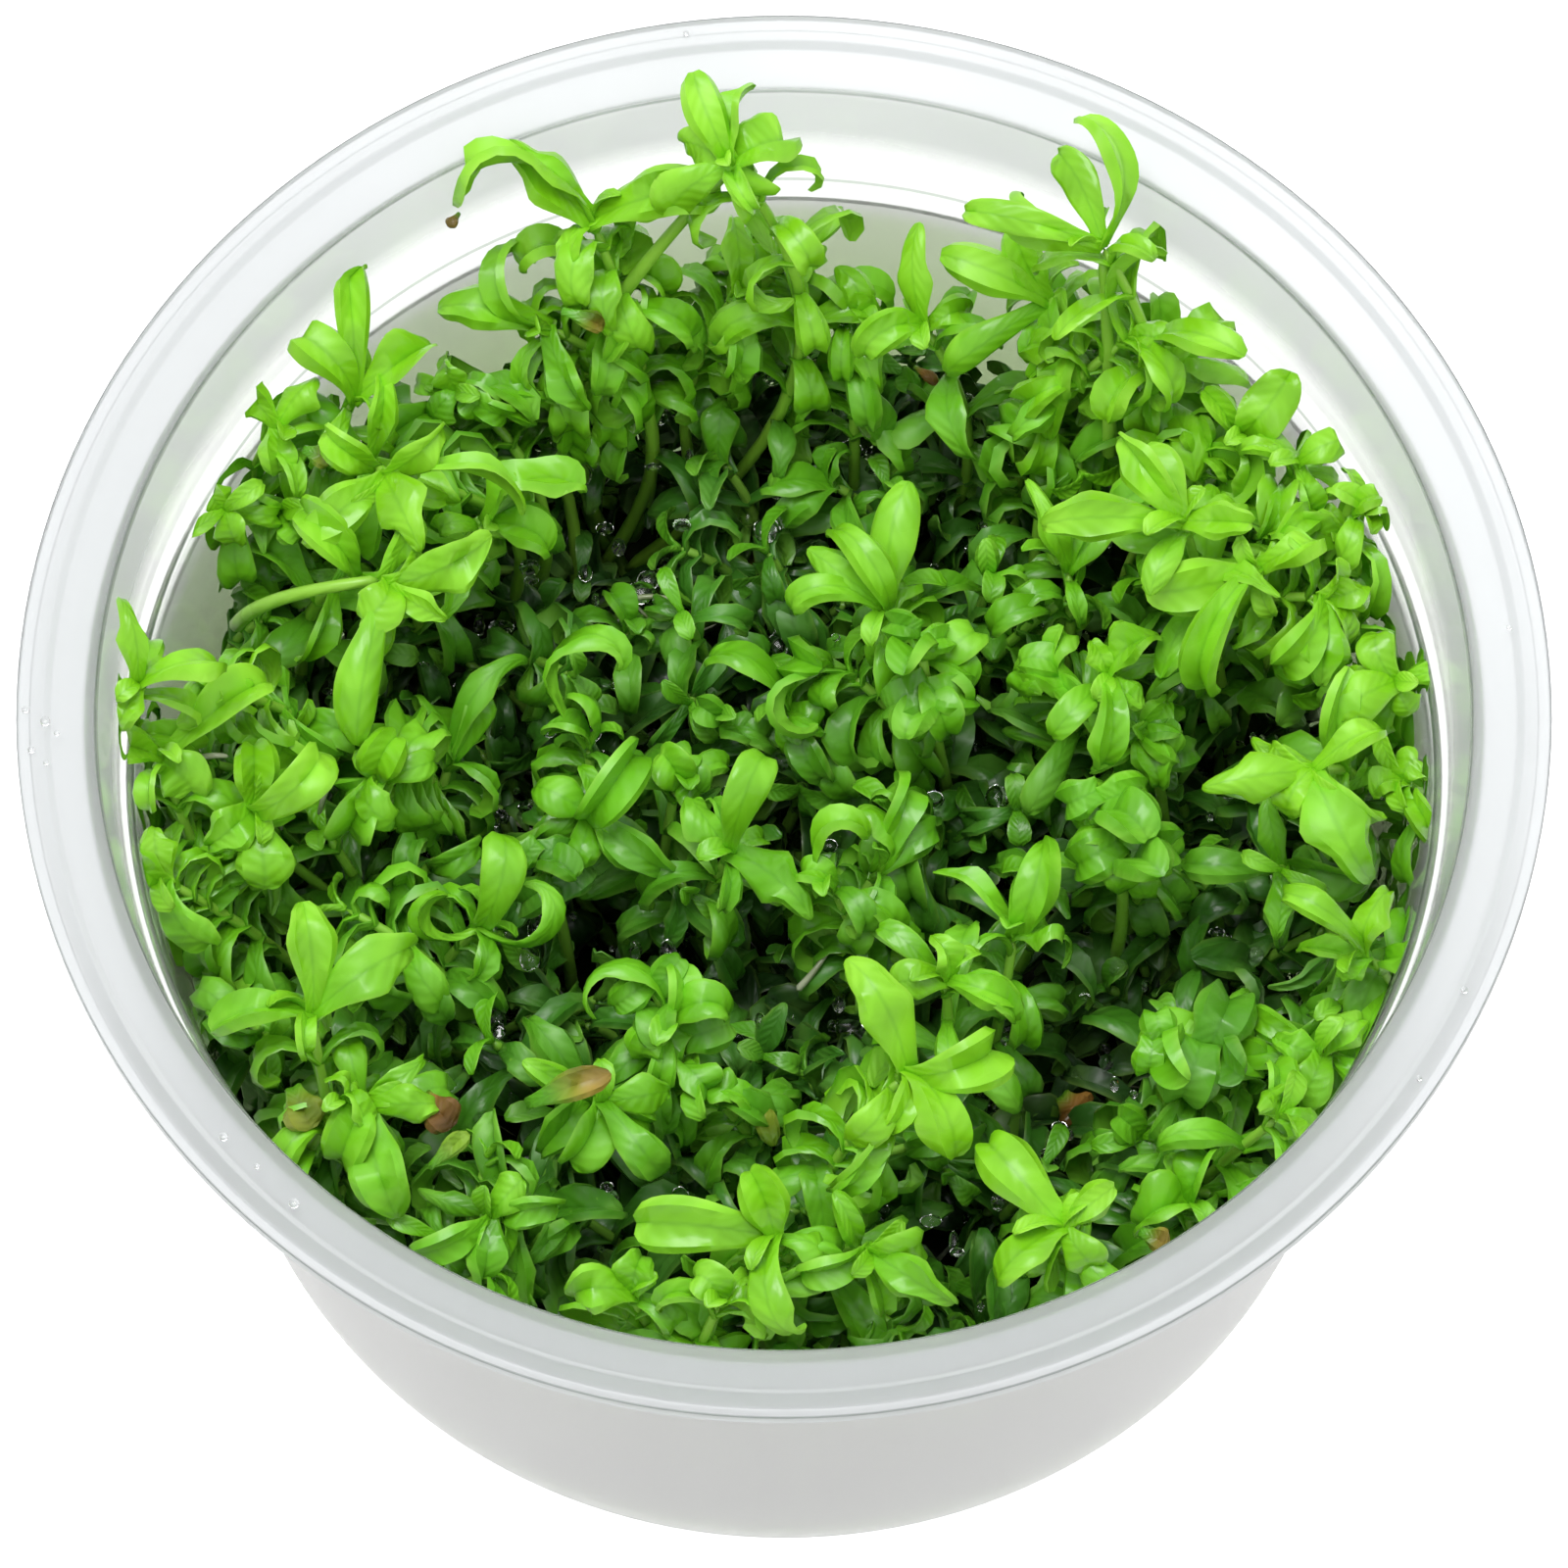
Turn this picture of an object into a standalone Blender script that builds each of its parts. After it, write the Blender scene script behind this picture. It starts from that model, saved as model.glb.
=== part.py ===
"""Pearlweed growing in a clear tissue-culture cup with a wrap-round label."""

import math

import bmesh
import bpy
from mathutils import Vector
from mathutils.bvhtree import BVHTree

MM = 0.001

# Cup, in metres
RIM_RADIUS = 50.5 * MM
RIM_HEIGHT = 56.0 * MM
RIM_SKIRT = 1.1 * MM          # how far the outer edge of the flange turns down
BEAD_RADIUS = 48.3 * MM       # inner edge of the raised bead that a lid snaps on
BEAD_RISE = 0.4 * MM
FLANGE_RISE = 0.6 * MM        # the flange climbs by this much from the mouth to the bead
MOUTH_RADIUS = 45.3 * MM      # inside corner where the wall turns into the flange
MOUTH_HEIGHT = 54.6 * MM
SHOULDER_RADIUS = 43.5 * MM   # inside radius below the stacking step
SHOULDER_HEIGHT = 45.2 * MM
SHOULDER_STEP = 0.8 * MM
BASE_RADIUS = 39.4 * MM       # outside radius at the foot of the wall
CORNER = 1.2 * MM             # rounding where the wall meets the floor
WALL = 0.8 * MM
FLOOR = 1.2 * MM
ROUND_STEPS = 36

# Label and gel
LABEL_BOTTOM = 1.6 * MM
LABEL_TOP = 41.5 * MM
LABEL_THICKNESS = 0.3 * MM
GEL_HEIGHT = 11.0 * MM
GEL_MENISCUS = 0.8 * MM
MENISCUS_WIDTH = 1.6 * MM

GAP = 0.3 * MM                # clearance between neighbouring pieces

# Stems and leaves
STEM_RADIUS = 0.55 * MM
STEM_SIDES = 4
STEM_STEPS = 2
STEM_BEND = 0.55              # height of the bend, as a share of the stem's height
BUD_LENGTH = 0.9 * MM
ROOT_INWARD = 0.86            # a root stands nearer the middle than the tip it carries
ROOT_LIMIT = 35.0 * MM
ROOT_STRIDE = 1.1 * MM
ROOT_TRIES = 40
LEAF_THICKNESS = 0.7 * MM
LEAF_NECK = 0.5 * MM
LEAF_SET = 0.15 * MM          # a leaf's base stands this far off the middle of the stem
LEAF_STATIONS = ((0.42, 1.0), (0.8, 0.84))    # place along the leaf, share of its width
LEAF_SHARES = (1.0, 0.86, 0.72, 0.58, 0.45)   # a leaf with no room is grown shorter
GOLDEN_ANGLE = math.radians(137.5)

# The viewpoint from which the shoots' places were read off the picture
EYE = Vector((0.0, -236.8 * MM, 585.7 * MM))
LOOK_DOWN = math.radians(66.51)
FOCAL_LENGTH = 9000.0
PICTURE_CENTRE = 800.0

# Each shoot has its growing tip (picture x, picture y, height in mm) and its leaves
# (picture x and y of the leaf's end, its rise above the growing tip and width in mm, curl).
# A shoot whose stem leans far has the foot of its stem too (x and y in mm).
SHOOTS = [
    # Back wall, from left to right
    ((285, 435, 46), [(238, 390, 2, 3.5, 0.2), (305, 393, 2, 3.8, 0.3), (275, 475, -1, 4.0, 0.4)]),
    ((370, 405, 46), [(378, 258, 5, 3.0, 0.1), (305, 335, 3, 4.5, 0.3), (425, 355, 1, 4.0, 0.5)]),
    ((560, 335, 43), [(452, 310, 1, 3.8, 0.2), (585, 425, -3, 4.0, 0.2), (545, 270, 2, 3.6, 0.8)]),
    ((605, 232, 51), [(476, 195, 1, 4.5, 0.3), (752, 180, 3, 4.2, 0.2), (560, 180, 2, 4.0, 0.2)]),
    ((742, 150, 59), [(700, 84, 2, 3.2, 0.2), (775, 95, 1, 3.5, 0.5), (793, 138, 0, 4.2, 0.6),
                      (705, 150, 0, 3.6, 0.3)], (-12, 29)),
    ((752, 300, 43), [(745, 222, 3, 3.2, 0.3), (795, 275, 1, 4.0, 0.5), (752, 392, -4, 3.0, 0.2)]),
    ((812, 262, 44), [(862, 217, 2, 2.0, 0.5), (840, 265, 0, 2.6, 0.6), (793, 245, 1, 2.4, 0.6)]),
    ((865, 325, 41), [(835, 298, 1, 4.0, 0.8), (898, 318, 0, 4.0, 0.8), (840, 352, -1, 4.0, 0.7),
                      (870, 270, 3, 3.0, 0.5)]),
    ((945, 335, 43), [(935, 226, 5, 3.6, 0.1), (882, 362, 0, 3.5, 0.5), (990, 320, 0, 3.2, 0.4)]),
    ((1065, 305, 46), [(962, 272, 2, 4.2, 0.2), (958, 355, -3, 3.5, 0.3), (1030, 240, 2, 3.4, 0.4)]),
    ((1122, 250, 56), [(1095, 156, 2, 3.5, 0.1), (1098, 128, 4, 3.4, 0.5), (1022, 235, 0, 4.2, 0.2),
                       (1150, 165, 3, 3.2, 0.3)]),
    ((1148, 350, 49), [(1196, 265, 5, 3.5, 0.6), (1188, 352, 0, 3.0, 0.4), (1172, 398, -2, 4.0, 0.8)]),
    ((1180, 385, 44), [(1272, 395, 1, 3.5, 0.3), (1205, 345, 2, 4.0, 0.4), (1160, 440, -2, 3.2, 0.3)]),
    ((1255, 445, 45), [(1312, 378, 4, 4.5, 0.1), (1268, 505, -2, 3.5, 0.4), (1228, 400, 3, 2.6, 0.2)]),
    ((1325, 475, 46), [(1378, 460, 1, 3.2, 0.4), (1275, 455, 0, 3.5, 0.5), (1330, 525, -2, 3.5, 0.3)]),
    # Right-hand side, from back to front
    ((1383, 526, 47), [(1430, 535, 0, 3.5, 0.5), (1412, 508, 2, 3.0, 0.4), (1360, 502, 1, 2.8, 0.5)]),
    ((1208, 532, 50), [(1063, 530, 0, 4.5, 0.2), (1132, 458, 2, 4.0, 0.2), (1175, 452, 2, 4.0, 0.1),
                       (1275, 545, 0, 3.6, 0.2)], (32, 9)),
    ((1285, 580, 47), [(1170, 612, 0, 5.0, 0.2), (1220, 685, -3, 3.6, 0.6), (1340, 545, 1, 3.4, 0.3)]),
    ((1090, 580, 38), [(1052, 488, 4, 3.0, 0.3), (1096, 505, 3, 3.0, 0.2), (1130, 540, 1, 3.2, 0.4)]),
    ((1130, 690, 42), [(1112, 655, 2, 2.6, 0.2), (1168, 720, 0, 2.4, 0.1), (1132, 775, -2, 4.0, 0.6),
                       (1175, 640, 2, 4.0, 0.3)]),
    ((1075, 690, 38), [(1043, 672, 1, 3.8, 0.8), (1048, 712, 0, 4.0, 0.6), (1095, 655, 1, 3.6, 0.6)]),
    ((1350, 610, 46), [(1300, 670, -1, 4.5, 0.5), (1345, 700, -2, 4.5, 0.2), (1385, 590, 1, 4.0, 0.4)]),
    ((1425, 695, 46), [(1362, 722, 0, 4.5, 0.3), (1440, 728, -1, 3.0, 0.3), (1400, 650, 1, 3.5, 0.5)]),
    ((1340, 787, 46), [(1225, 795, 1, 4.5, 0.1), (1410, 745, 2, 3.5, 0.3), (1312, 832, -1, 4.0, 0.5),
                       (1385, 905, -3, 6.5, 0.3)]),
    ((1160, 745, 37), [(1200, 770, 0, 3.6, 0.5), (1172, 803, -1, 4.0, 0.4), (1188, 715, 1, 3.4, 0.6)]),
    ((1150, 865, 37), [(1108, 850, 1, 4.2, 0.9), (1130, 808, 1, 4.0, 0.9), (1192, 875, 0, 4.0, 0.8),
                       (1140, 912, 0, 4.0, 0.8)]),
    ((1395, 975, 43), [(1318, 930, 2, 2.8, 0.8), (1430, 920, 2, 4.0, 0.5), (1370, 1000, -1, 3.0, 0.3)]),
    ((1240, 1065, 38), [(1162, 1060, 0, 4.5, 0.4), (1225, 1035, 1, 4.6, 0.5), (1285, 1095, 0, 4.2, 0.5)]),
    ((1348, 1075, 41), [(1385, 1035, 1, 4.0, 0.3), (1325, 1118, -1, 4.0, 0.3), (1300, 1060, 0, 3.4, 0.3)]),
    ((1215, 1230, 37), [(1170, 1245, 0, 4.6, 0.7), (1240, 1185, 1, 4.0, 0.6)]),
    # Middle, from back to front
    ((850, 495, 31), [(868, 470, 1, 3.4, 0.8), (785, 500, 0, 3.8, 0.4), (800, 540, -1, 3.4, 0.4)]),
    ((905, 625, 40), [(922, 490, 4, 4.2, 0.1), (865, 540, 3, 3.2, 0.9), (822, 562, 3, 3.4, 0.2),
                      (812, 625, 1, 3.0, 0.8)]),
    ((945, 685, 38), [(985, 650, 1, 3.8, 0.8), (985, 705, 0, 4.0, 0.8), (955, 748, -1, 3.8, 0.8)]),
    ((805, 722, 34), [(722, 680, 2, 4.0, 0.6), (850, 690, 1, 3.6, 0.8), (835, 740, 0, 3.4, 0.6)]),
    ((600, 830, 36), [(642, 768, 3, 4.2, 0.7), (548, 800, 1, 3.8, 0.5), (582, 880, -1, 3.2, 0.8),
                      (660, 905, -2, 4.0, 0.5)]),
    ((745, 870, 37), [(765, 775, 4, 3.8, 0.8), (838, 925, 0, 5.0, 0.2), (695, 830, 1, 3.6, 0.4)]),
    ((895, 890, 35), [(872, 835, 3, 3.5, 0.8), (935, 815, 1, 3.6, 0.5), (960, 860, 0, 3.2, 0.4)]),
    ((1035, 955, 37), [(950, 893, 1, 3.6, 0.1), (1078, 955, 0, 4.0, 0.4), (1055, 855, 3, 4.2, 0.3)]),
    ((680, 1050, 38), [(655, 1075, 0, 4.0, 0.8), (690, 990, 2, 3.6, 0.7), (738, 1035, 1, 3.6, 0.7),
                       (610, 1030, 1, 3.0, 0.9)]),
    # Left-hand side, from back to front
    ((390, 490, 48), [(440, 520, 1, 5.0, 0.2), (308, 535, 0, 4.0, 0.2), (520, 532, -1, 3.4, 0.3),
                      (425, 430, 2, 4.0, 0.5)]),
    ((392, 600, 47), [(398, 630, 0, 3.5, 0.7), (500, 568, 1, 5.0, 0.1), (345, 755, -3, 4.0, 0.2)],
     (-33, 9)),
    ((140, 700, 52), [(128, 612, 3, 2.8, 0.5), (222, 690, 0, 4.5, 0.6), (122, 745, -1, 3.0, 0.3)]),
    ((165, 775, 46), [(112, 762, 1, 3.5, 0.3), (200, 800, -1, 5.0, 0.4), (280, 706, 0, 4.0, 0.2)]),
    ((460, 775, 33), [(430, 728, 1, 4.2, 0.7), (548, 690, 3, 3.0, 0.4), (480, 700, 1, 3.4, 0.5)]),
    ((258, 825, 44), [(250, 762, 2, 4.0, 0.2), (325, 770, 2, 4.0, 0.8), (272, 906, -2, 5.0, 0.2),
                      (212, 862, -1, 4.5, 0.3)]),
    ((490, 945, 37), [(525, 862, 3, 4.0, 0.7), (440, 910, 1, 2.8, 0.9), (562, 915, 1, 2.8, 0.9)]),
    ((318, 1035, 43), [(308, 920, 4, 4.5, 0.1), (430, 990, 0, 5.2, 0.3), (215, 1050, 0, 4.0, 0.2)]),
    ((370, 1125, 41), [(345, 1180, -1, 4.2, 0.5), (397, 1245, -2, 5.0, 0.1), (440, 1110, 0, 3.6, 0.5)]),
    # Front wall, from left to right
    ((500, 1240, 38), [(537, 1208, 2, 3.6, 0.3), (512, 1310, -2, 4.0, 0.2), (420, 1270, 0, 3.6, 0.3)]),
    ((612, 1125, 39), [(585, 1185, -1, 4.0, 0.4), (650, 1210, -2, 3.8, 0.5), (680, 1105, 0, 4.0, 0.3)]),
    ((645, 1320, 42), [(590, 1330, 0, 4.4, 0.7), (660, 1285, 1, 4.0, 0.5)]),
    ((790, 1262, 44), [(652, 1235, 1, 5.0, 0.1), (765, 1195, 2, 4.2, 0.3), (800, 1352, -2, 4.0, 0.8)]),
    ((885, 1275, 42), [(930, 1255, 1, 4.0, 0.7), (820, 1300, 0, 3.6, 0.3), (960, 1345, -1, 4.0, 0.3)]),
    ((925, 1095, 47), [(870, 975, 4, 5.0, 0.3), (1003, 1060, 0, 5.0, 0.5), (960, 1185, -1, 5.0, 0.4)]),
    ((965, 1000, 42), [(950, 955, 2, 4.0, 0.5), (915, 1010, 0, 3.6, 0.5), (1030, 1035, 0, 3.6, 0.3)]),
    ((1085, 1252, 46), [(1140, 1215, 2, 3.0, 0.1), (1000, 1175, 0, 5.0, 0.2), (1022, 1312, -1, 4.5, 0.2),
                        (1118, 1290, -1, 4.0, 0.4)]),
]


def place(across, down, height):
    """The point at a given height in mm that lies behind a given spot of the picture."""
    forward = Vector((0.0, math.cos(LOOK_DOWN), -math.sin(LOOK_DOWN)))
    upward = Vector((0.0, math.sin(LOOK_DOWN), math.cos(LOOK_DOWN)))
    ray = Vector(((across - PICTURE_CENTRE) / FOCAL_LENGTH, 0.0, 0.0))
    ray += upward * ((PICTURE_CENTRE - down) / FOCAL_LENGTH) + forward
    return EYE + ray * ((height * MM - EYE.z) / ray.z)


def make_material(name, colour, roughness, transmission=0.0):
    material = bpy.data.materials.new(name)
    material.use_nodes = True
    shader = material.node_tree.nodes["Principled BSDF"]
    shader.inputs["Base Color"].default_value = (*colour, 1.0)
    shader.inputs["Roughness"].default_value = roughness
    shader.inputs["Metallic"].default_value = 0.0
    shader.inputs["Transmission Weight"].default_value = transmission
    return material


def make_object(name, bm, material):
    """Turn a bmesh into a smooth-shaded object."""
    bmesh.ops.recalc_face_normals(bm, faces=bm.faces)
    mesh = bpy.data.meshes.new(name)
    bm.to_mesh(mesh)
    bm.free()
    mesh.shade_smooth()
    mesh.set_sharp_from_angle(angle=math.radians(35))
    mesh.materials.append(material)
    item = bpy.data.objects.new(name, mesh)
    bpy.context.scene.collection.objects.link(item)
    return item


def turned(name, profile, material, ring=False):
    """Spin a profile of (radius, height) points; a ring's profile is closed on itself."""
    bm = bmesh.new()
    corners = [bm.verts.new((radius, 0.0, height)) for radius, height in profile]
    edges = [bm.edges.new(pair) for pair in zip(corners, corners[1:])]
    if ring:
        edges.append(bm.edges.new((corners[-1], corners[0])))
    bmesh.ops.spin(bm, geom=corners + edges, cent=(0, 0, 0), axis=(0, 0, 1),
                   angle=math.tau, steps=ROUND_STEPS, use_merge=True)
    bmesh.ops.remove_doubles(bm, verts=bm.verts, dist=0.001 * MM)
    return make_object(name, bm, material)


def inside_radius(height):
    """Inner radius of the tapered wall below the stacking step."""
    foot = BASE_RADIUS - WALL
    return foot + (SHOULDER_RADIUS - foot) * height / SHOULDER_HEIGHT


def outside_radius(height):
    return inside_radius(height) + WALL


def make_cup(material):
    bead_height = MOUTH_HEIGHT + FLANGE_RISE
    skirt_height = RIM_HEIGHT - RIM_SKIRT
    outside = [
        (0.0, 0.0),
        (BASE_RADIUS - CORNER, 0.0),
        (BASE_RADIUS - 0.3 * CORNER, 0.3 * CORNER),
        (outside_radius(CORNER), CORNER),
        (outside_radius(SHOULDER_HEIGHT - WALL), SHOULDER_HEIGHT - WALL),
        (SHOULDER_RADIUS + WALL + SHOULDER_STEP, SHOULDER_HEIGHT),
        (MOUTH_RADIUS + WALL, MOUTH_HEIGHT - WALL),
        (BEAD_RADIUS, bead_height - WALL),
        (RIM_RADIUS - WALL, RIM_HEIGHT - WALL),
        (RIM_RADIUS - WALL, skirt_height),
        (RIM_RADIUS, skirt_height),
    ]
    inside = [
        (RIM_RADIUS, RIM_HEIGHT - 0.5 * WALL),
        (RIM_RADIUS - 0.5 * WALL, RIM_HEIGHT),
        (BEAD_RADIUS + BEAD_RISE, bead_height + BEAD_RISE),
        (BEAD_RADIUS, bead_height),
        (MOUTH_RADIUS, MOUTH_HEIGHT),
        (SHOULDER_RADIUS + SHOULDER_STEP, SHOULDER_HEIGHT + SHOULDER_STEP),
        (SHOULDER_RADIUS, SHOULDER_HEIGHT),
        (inside_radius(FLOOR + CORNER), FLOOR + CORNER),
        (inside_radius(FLOOR) - CORNER, FLOOR),
        (0.0, FLOOR),
    ]
    return turned("cup", outside + inside, material)


def make_label(material):
    """A thin sleeve round the tapered wall."""
    bottom = outside_radius(LABEL_BOTTOM) + GAP
    top = outside_radius(LABEL_TOP) + GAP
    profile = [
        (bottom, LABEL_BOTTOM),
        (bottom + LABEL_THICKNESS, LABEL_BOTTOM),
        (top + LABEL_THICKNESS, LABEL_TOP),
        (top, LABEL_TOP),
    ]
    return turned("label", profile, material, ring=True)


def make_gel(material):
    """The nutrient gel on the cup's floor, drawn up a little where it meets the wall."""
    underside = FLOOR + GAP
    edge_height = GEL_HEIGHT + GEL_MENISCUS
    edge_radius = inside_radius(edge_height) - GAP
    profile = [
        (0.0, underside),
        (inside_radius(underside) - CORNER - GAP, underside),
        (inside_radius(FLOOR + CORNER + GAP) - GAP, FLOOR + CORNER + GAP),
        (edge_radius, edge_height),
        (edge_radius - MENISCUS_WIDTH, GEL_HEIGHT),
        (0.0, GEL_HEIGHT),
    ]
    return turned("nutrient_gel", profile, material)


def loft(rings, point):
    """A closed solid through equal rings of points that ends in one point."""
    bm = bmesh.new()
    face = bm.faces.new([bm.verts.new(corner) for corner in rings[0]])
    for ring in rings[1:]:
        face = bmesh.ops.extrude_discrete_faces(bm, faces=[face])["faces"][0]
        for corner, target in zip(face.verts, ring):
            corner.co = target
    face = bmesh.ops.extrude_discrete_faces(bm, faces=[face])["faces"][0]
    bmesh.ops.pointmerge(bm, verts=face.verts[:], merge_co=point)
    open_edges = [edge for edge in bm.edges if edge.is_boundary]
    bmesh.ops.holes_fill(bm, edges=open_edges, sides=0)
    bmesh.ops.triangulate(bm, faces=bm.faces)
    bmesh.ops.recalc_face_normals(bm, faces=bm.faces)
    return bm


def stem_shape(root, tip, swell=0.0):
    """A tapering stem that rises from its root and then bends over to its growing tip."""
    bend = root.lerp(tip, 0.2)
    bend.z = root.z + STEM_BEND * (tip.z - root.z)
    rings = []
    for step in range(STEM_STEPS + 1):
        along = step / STEM_STEPS
        centre = root.lerp(bend, along).lerp(bend.lerp(tip, along), along)
        radius = STEM_RADIUS * (1.15 - 0.35 * along) + swell
        ring = []
        for side in range(STEM_SIDES):
            angle = math.tau * side / STEM_SIDES
            ring.append(centre + Vector((math.cos(angle), math.sin(angle), 0.0)) * radius)
        rings.append(ring)
    growth = (tip - bend).normalized()
    return loft(rings, tip + growth * (BUD_LENGTH + swell))


def leaf_shape(base, end, width, curl, swell=0.0):
    """A flat-topped leaf with a keel below, arched between its base and its end."""
    chord = end - base
    along = chord.normalized()
    face = Vector((0.0, -0.35, 1.0)).normalized()
    normal = (face - along * face.dot(along)).normalized()
    side = along.cross(normal)
    arch = chord.length * (0.08 + 0.25 * curl)
    rings = []
    for station, share in ((0.0, LEAF_NECK / width), *LEAF_STATIONS):
        centre = base + chord * station + normal * (arch * 4 * station * (1 - station))
        half_width = 0.5 * width * share + swell
        top = normal * swell
        rings.append([centre - side * half_width + top,
                      centre + side * half_width + top,
                      centre - normal * (LEAF_THICKNESS * min(1.0, share + 0.4) + swell)])
    return loft(rings, end + along * swell)


def has_room(shape, neighbours):
    """True where a shape, swollen by the clearance, meets none of its neighbours."""
    tree = BVHTree.FromBMesh(shape)
    shape.free()
    return not any(tree.overlap(other) for other in neighbours)


def find_root(tip, foot, neighbours):
    """The free spot on the gel, nearest to the foot, from which a stem can reach its tip."""
    for attempt in range(ROOT_TRIES):
        turn = attempt * GOLDEN_ANGLE
        shift = Vector((math.cos(turn), math.sin(turn), 0.0)) * (ROOT_STRIDE * math.sqrt(attempt))
        root = foot + shift
        root.z = GEL_HEIGHT + GAP
        if root.xy.length > ROOT_LIMIT + ROOT_STRIDE:
            continue
        if has_room(stem_shape(root, tip, GAP), neighbours):
            return root
    raise RuntimeError(f"no room for the stem of the shoot at {tip}")


def fuse(body, extras):
    """Join the extra pieces to the body and remove them."""
    for extra in extras:
        join = body.modifiers.new("join", "BOOLEAN")
        join.operation = "UNION"
        join.solver = "EXACT"
        join.object = extra
    bpy.context.view_layer.update()
    evaluated = body.evaluated_get(bpy.context.evaluated_depsgraph_get())
    fused = bpy.data.meshes.new_from_object(evaluated)
    body.modifiers.clear()
    body.data = fused
    for extra in extras:
        bpy.data.objects.remove(extra)


def make_shoots(cup, material):
    """Grow every stem first, then each leaf as long as the room between neighbours allows."""
    wall = bmesh.new()
    wall.from_mesh(cup.data)
    cup_tree = BVHTree.FromBMesh(wall)
    wall.free()

    plants = []
    for tip_mark, leaf_marks, *foot_mark in SHOOTS:
        tip = place(*tip_mark)
        foot = Vector((tip.x, tip.y, 0.0)) * ROOT_INWARD
        foot *= min(1.0, ROOT_LIMIT / foot.length)
        if foot_mark:
            foot = Vector((*foot_mark[0], 0.0)) * MM
        others = [plant["trees"][0] for plant in plants]
        root = find_root(tip, foot, [cup_tree, *others])
        stem = stem_shape(root, tip)
        plants.append({"tip": tip, "height": tip_mark[2], "marks": leaf_marks,
                       "trees": [BVHTree.FromBMesh(stem)], "stem": stem, "leaves": []})

    for plant in plants:
        neighbours = [cup_tree]
        for other in plants:
            if other is not plant:
                neighbours += other["trees"]
        for across, down, rise, width, curl in plant["marks"]:
            end = place(across, down, plant["height"] + rise)
            base = plant["tip"] + (end - plant["tip"]).normalized() * LEAF_SET
            for share in LEAF_SHARES:
                reach = base.lerp(end, share)
                breadth = width * MM * share
                if has_room(leaf_shape(base, reach, breadth, curl, GAP), neighbours):
                    leaf = leaf_shape(base, reach, breadth, curl)
                    plant["trees"].append(BVHTree.FromBMesh(leaf))
                    plant["leaves"].append(leaf)
                    break

    for number, plant in enumerate(plants, start=1):
        name = f"shoot_{number:02d}"
        body = make_object(name, plant["stem"], material)
        leaves = [make_object(f"{name}_leaf", leaf, material) for leaf in plant["leaves"]]
        fuse(body, leaves)


def main():
    for item in list(bpy.data.objects):
        bpy.data.objects.remove(item)

    clear_plastic = make_material("clear_polypropylene", (0.86, 0.88, 0.89), 0.15, 0.9)
    label_film = make_material("label_film", (0.58, 0.57, 0.56), 0.45)
    gel = make_material("nutrient_gel", (0.02, 0.035, 0.012), 0.12)
    leaf_green = make_material("pearlweed_green", (0.13, 0.42, 0.02), 0.35)

    cup = make_cup(clear_plastic)
    make_label(label_film)
    make_gel(gel)
    make_shoots(cup, leaf_green)


main()
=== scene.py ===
import math
import random

import bmesh
import bpy
import numpy as np
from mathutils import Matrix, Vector, noise


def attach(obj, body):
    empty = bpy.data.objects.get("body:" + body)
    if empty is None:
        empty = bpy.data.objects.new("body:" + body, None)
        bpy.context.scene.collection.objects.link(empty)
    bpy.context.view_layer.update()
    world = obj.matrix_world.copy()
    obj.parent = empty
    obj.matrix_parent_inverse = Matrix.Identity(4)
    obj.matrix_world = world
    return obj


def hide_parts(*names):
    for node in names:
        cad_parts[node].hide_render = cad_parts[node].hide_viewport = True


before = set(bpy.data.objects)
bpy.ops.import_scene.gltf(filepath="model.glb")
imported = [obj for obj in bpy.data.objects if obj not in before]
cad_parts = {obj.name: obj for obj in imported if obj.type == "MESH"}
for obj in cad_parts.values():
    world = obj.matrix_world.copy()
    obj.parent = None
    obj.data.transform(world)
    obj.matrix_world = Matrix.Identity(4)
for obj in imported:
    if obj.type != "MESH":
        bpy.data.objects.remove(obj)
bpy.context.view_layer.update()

mm = 0.001

# The photograph's viewpoint; the image is taken as 1600 x 1600
viewpoint = {
    "eye": Vector((0, -236.8 * mm, 585.7 * mm)),
    "lookDown": math.radians(66.51),
    "focalLength": 9000.0,       # in pixels
    "centre": 800.0,
    "sensor": 36.0,
}
eyeward = Vector((0, -math.cos(viewpoint["lookDown"]), math.sin(viewpoint["lookDown"])))
upward = Vector((0, math.sin(viewpoint["lookDown"]), math.cos(viewpoint["lookDown"])))


# the point at a height in mm that lies behind a spot of the picture
def place(across, down, height):
    ray = Vector(((across - viewpoint["centre"]) / viewpoint["focalLength"], 0, 0)) - eyeward
    ray += upward * ((viewpoint["centre"] - down) / viewpoint["focalLength"])
    eye = viewpoint["eye"]
    return eye + ray * ((height * mm - eye.z) / ray.z)


def makeCamera():
    data = bpy.data.cameras.new("photoCamera")
    data.sensor_width = viewpoint["sensor"]
    data.lens = viewpoint["focalLength"] * viewpoint["sensor"] / (2 * viewpoint["centre"])
    data.clip_start = 0.01
    data.clip_end = 20
    camera = bpy.data.objects.new("photoCamera", data)
    camera.location = viewpoint["eye"]
    camera.rotation_euler = (math.pi / 2 - viewpoint["lookDown"], 0, 0)
    bpy.context.scene.collection.objects.link(camera)
    bpy.context.scene.camera = camera


makeCamera()
print("camera placed")


# Materials

def hexColour(code):
    values = [int(code[i:i + 2], 16) / 255 for i in (1, 3, 5)]
    linear = [v / 12.92 if v <= 0.04045 else ((v + 0.055) / 1.055) ** 2.4 for v in values]
    return (*linear, 1.0)


# each input takes a value or another node's output
def setInputs(node, inputs):
    for key, value in inputs.items():
        if isinstance(value, bpy.types.NodeSocket):
            node.id_data.links.new(value, node.inputs[key])
        else:
            node.inputs[key].default_value = value


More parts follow.
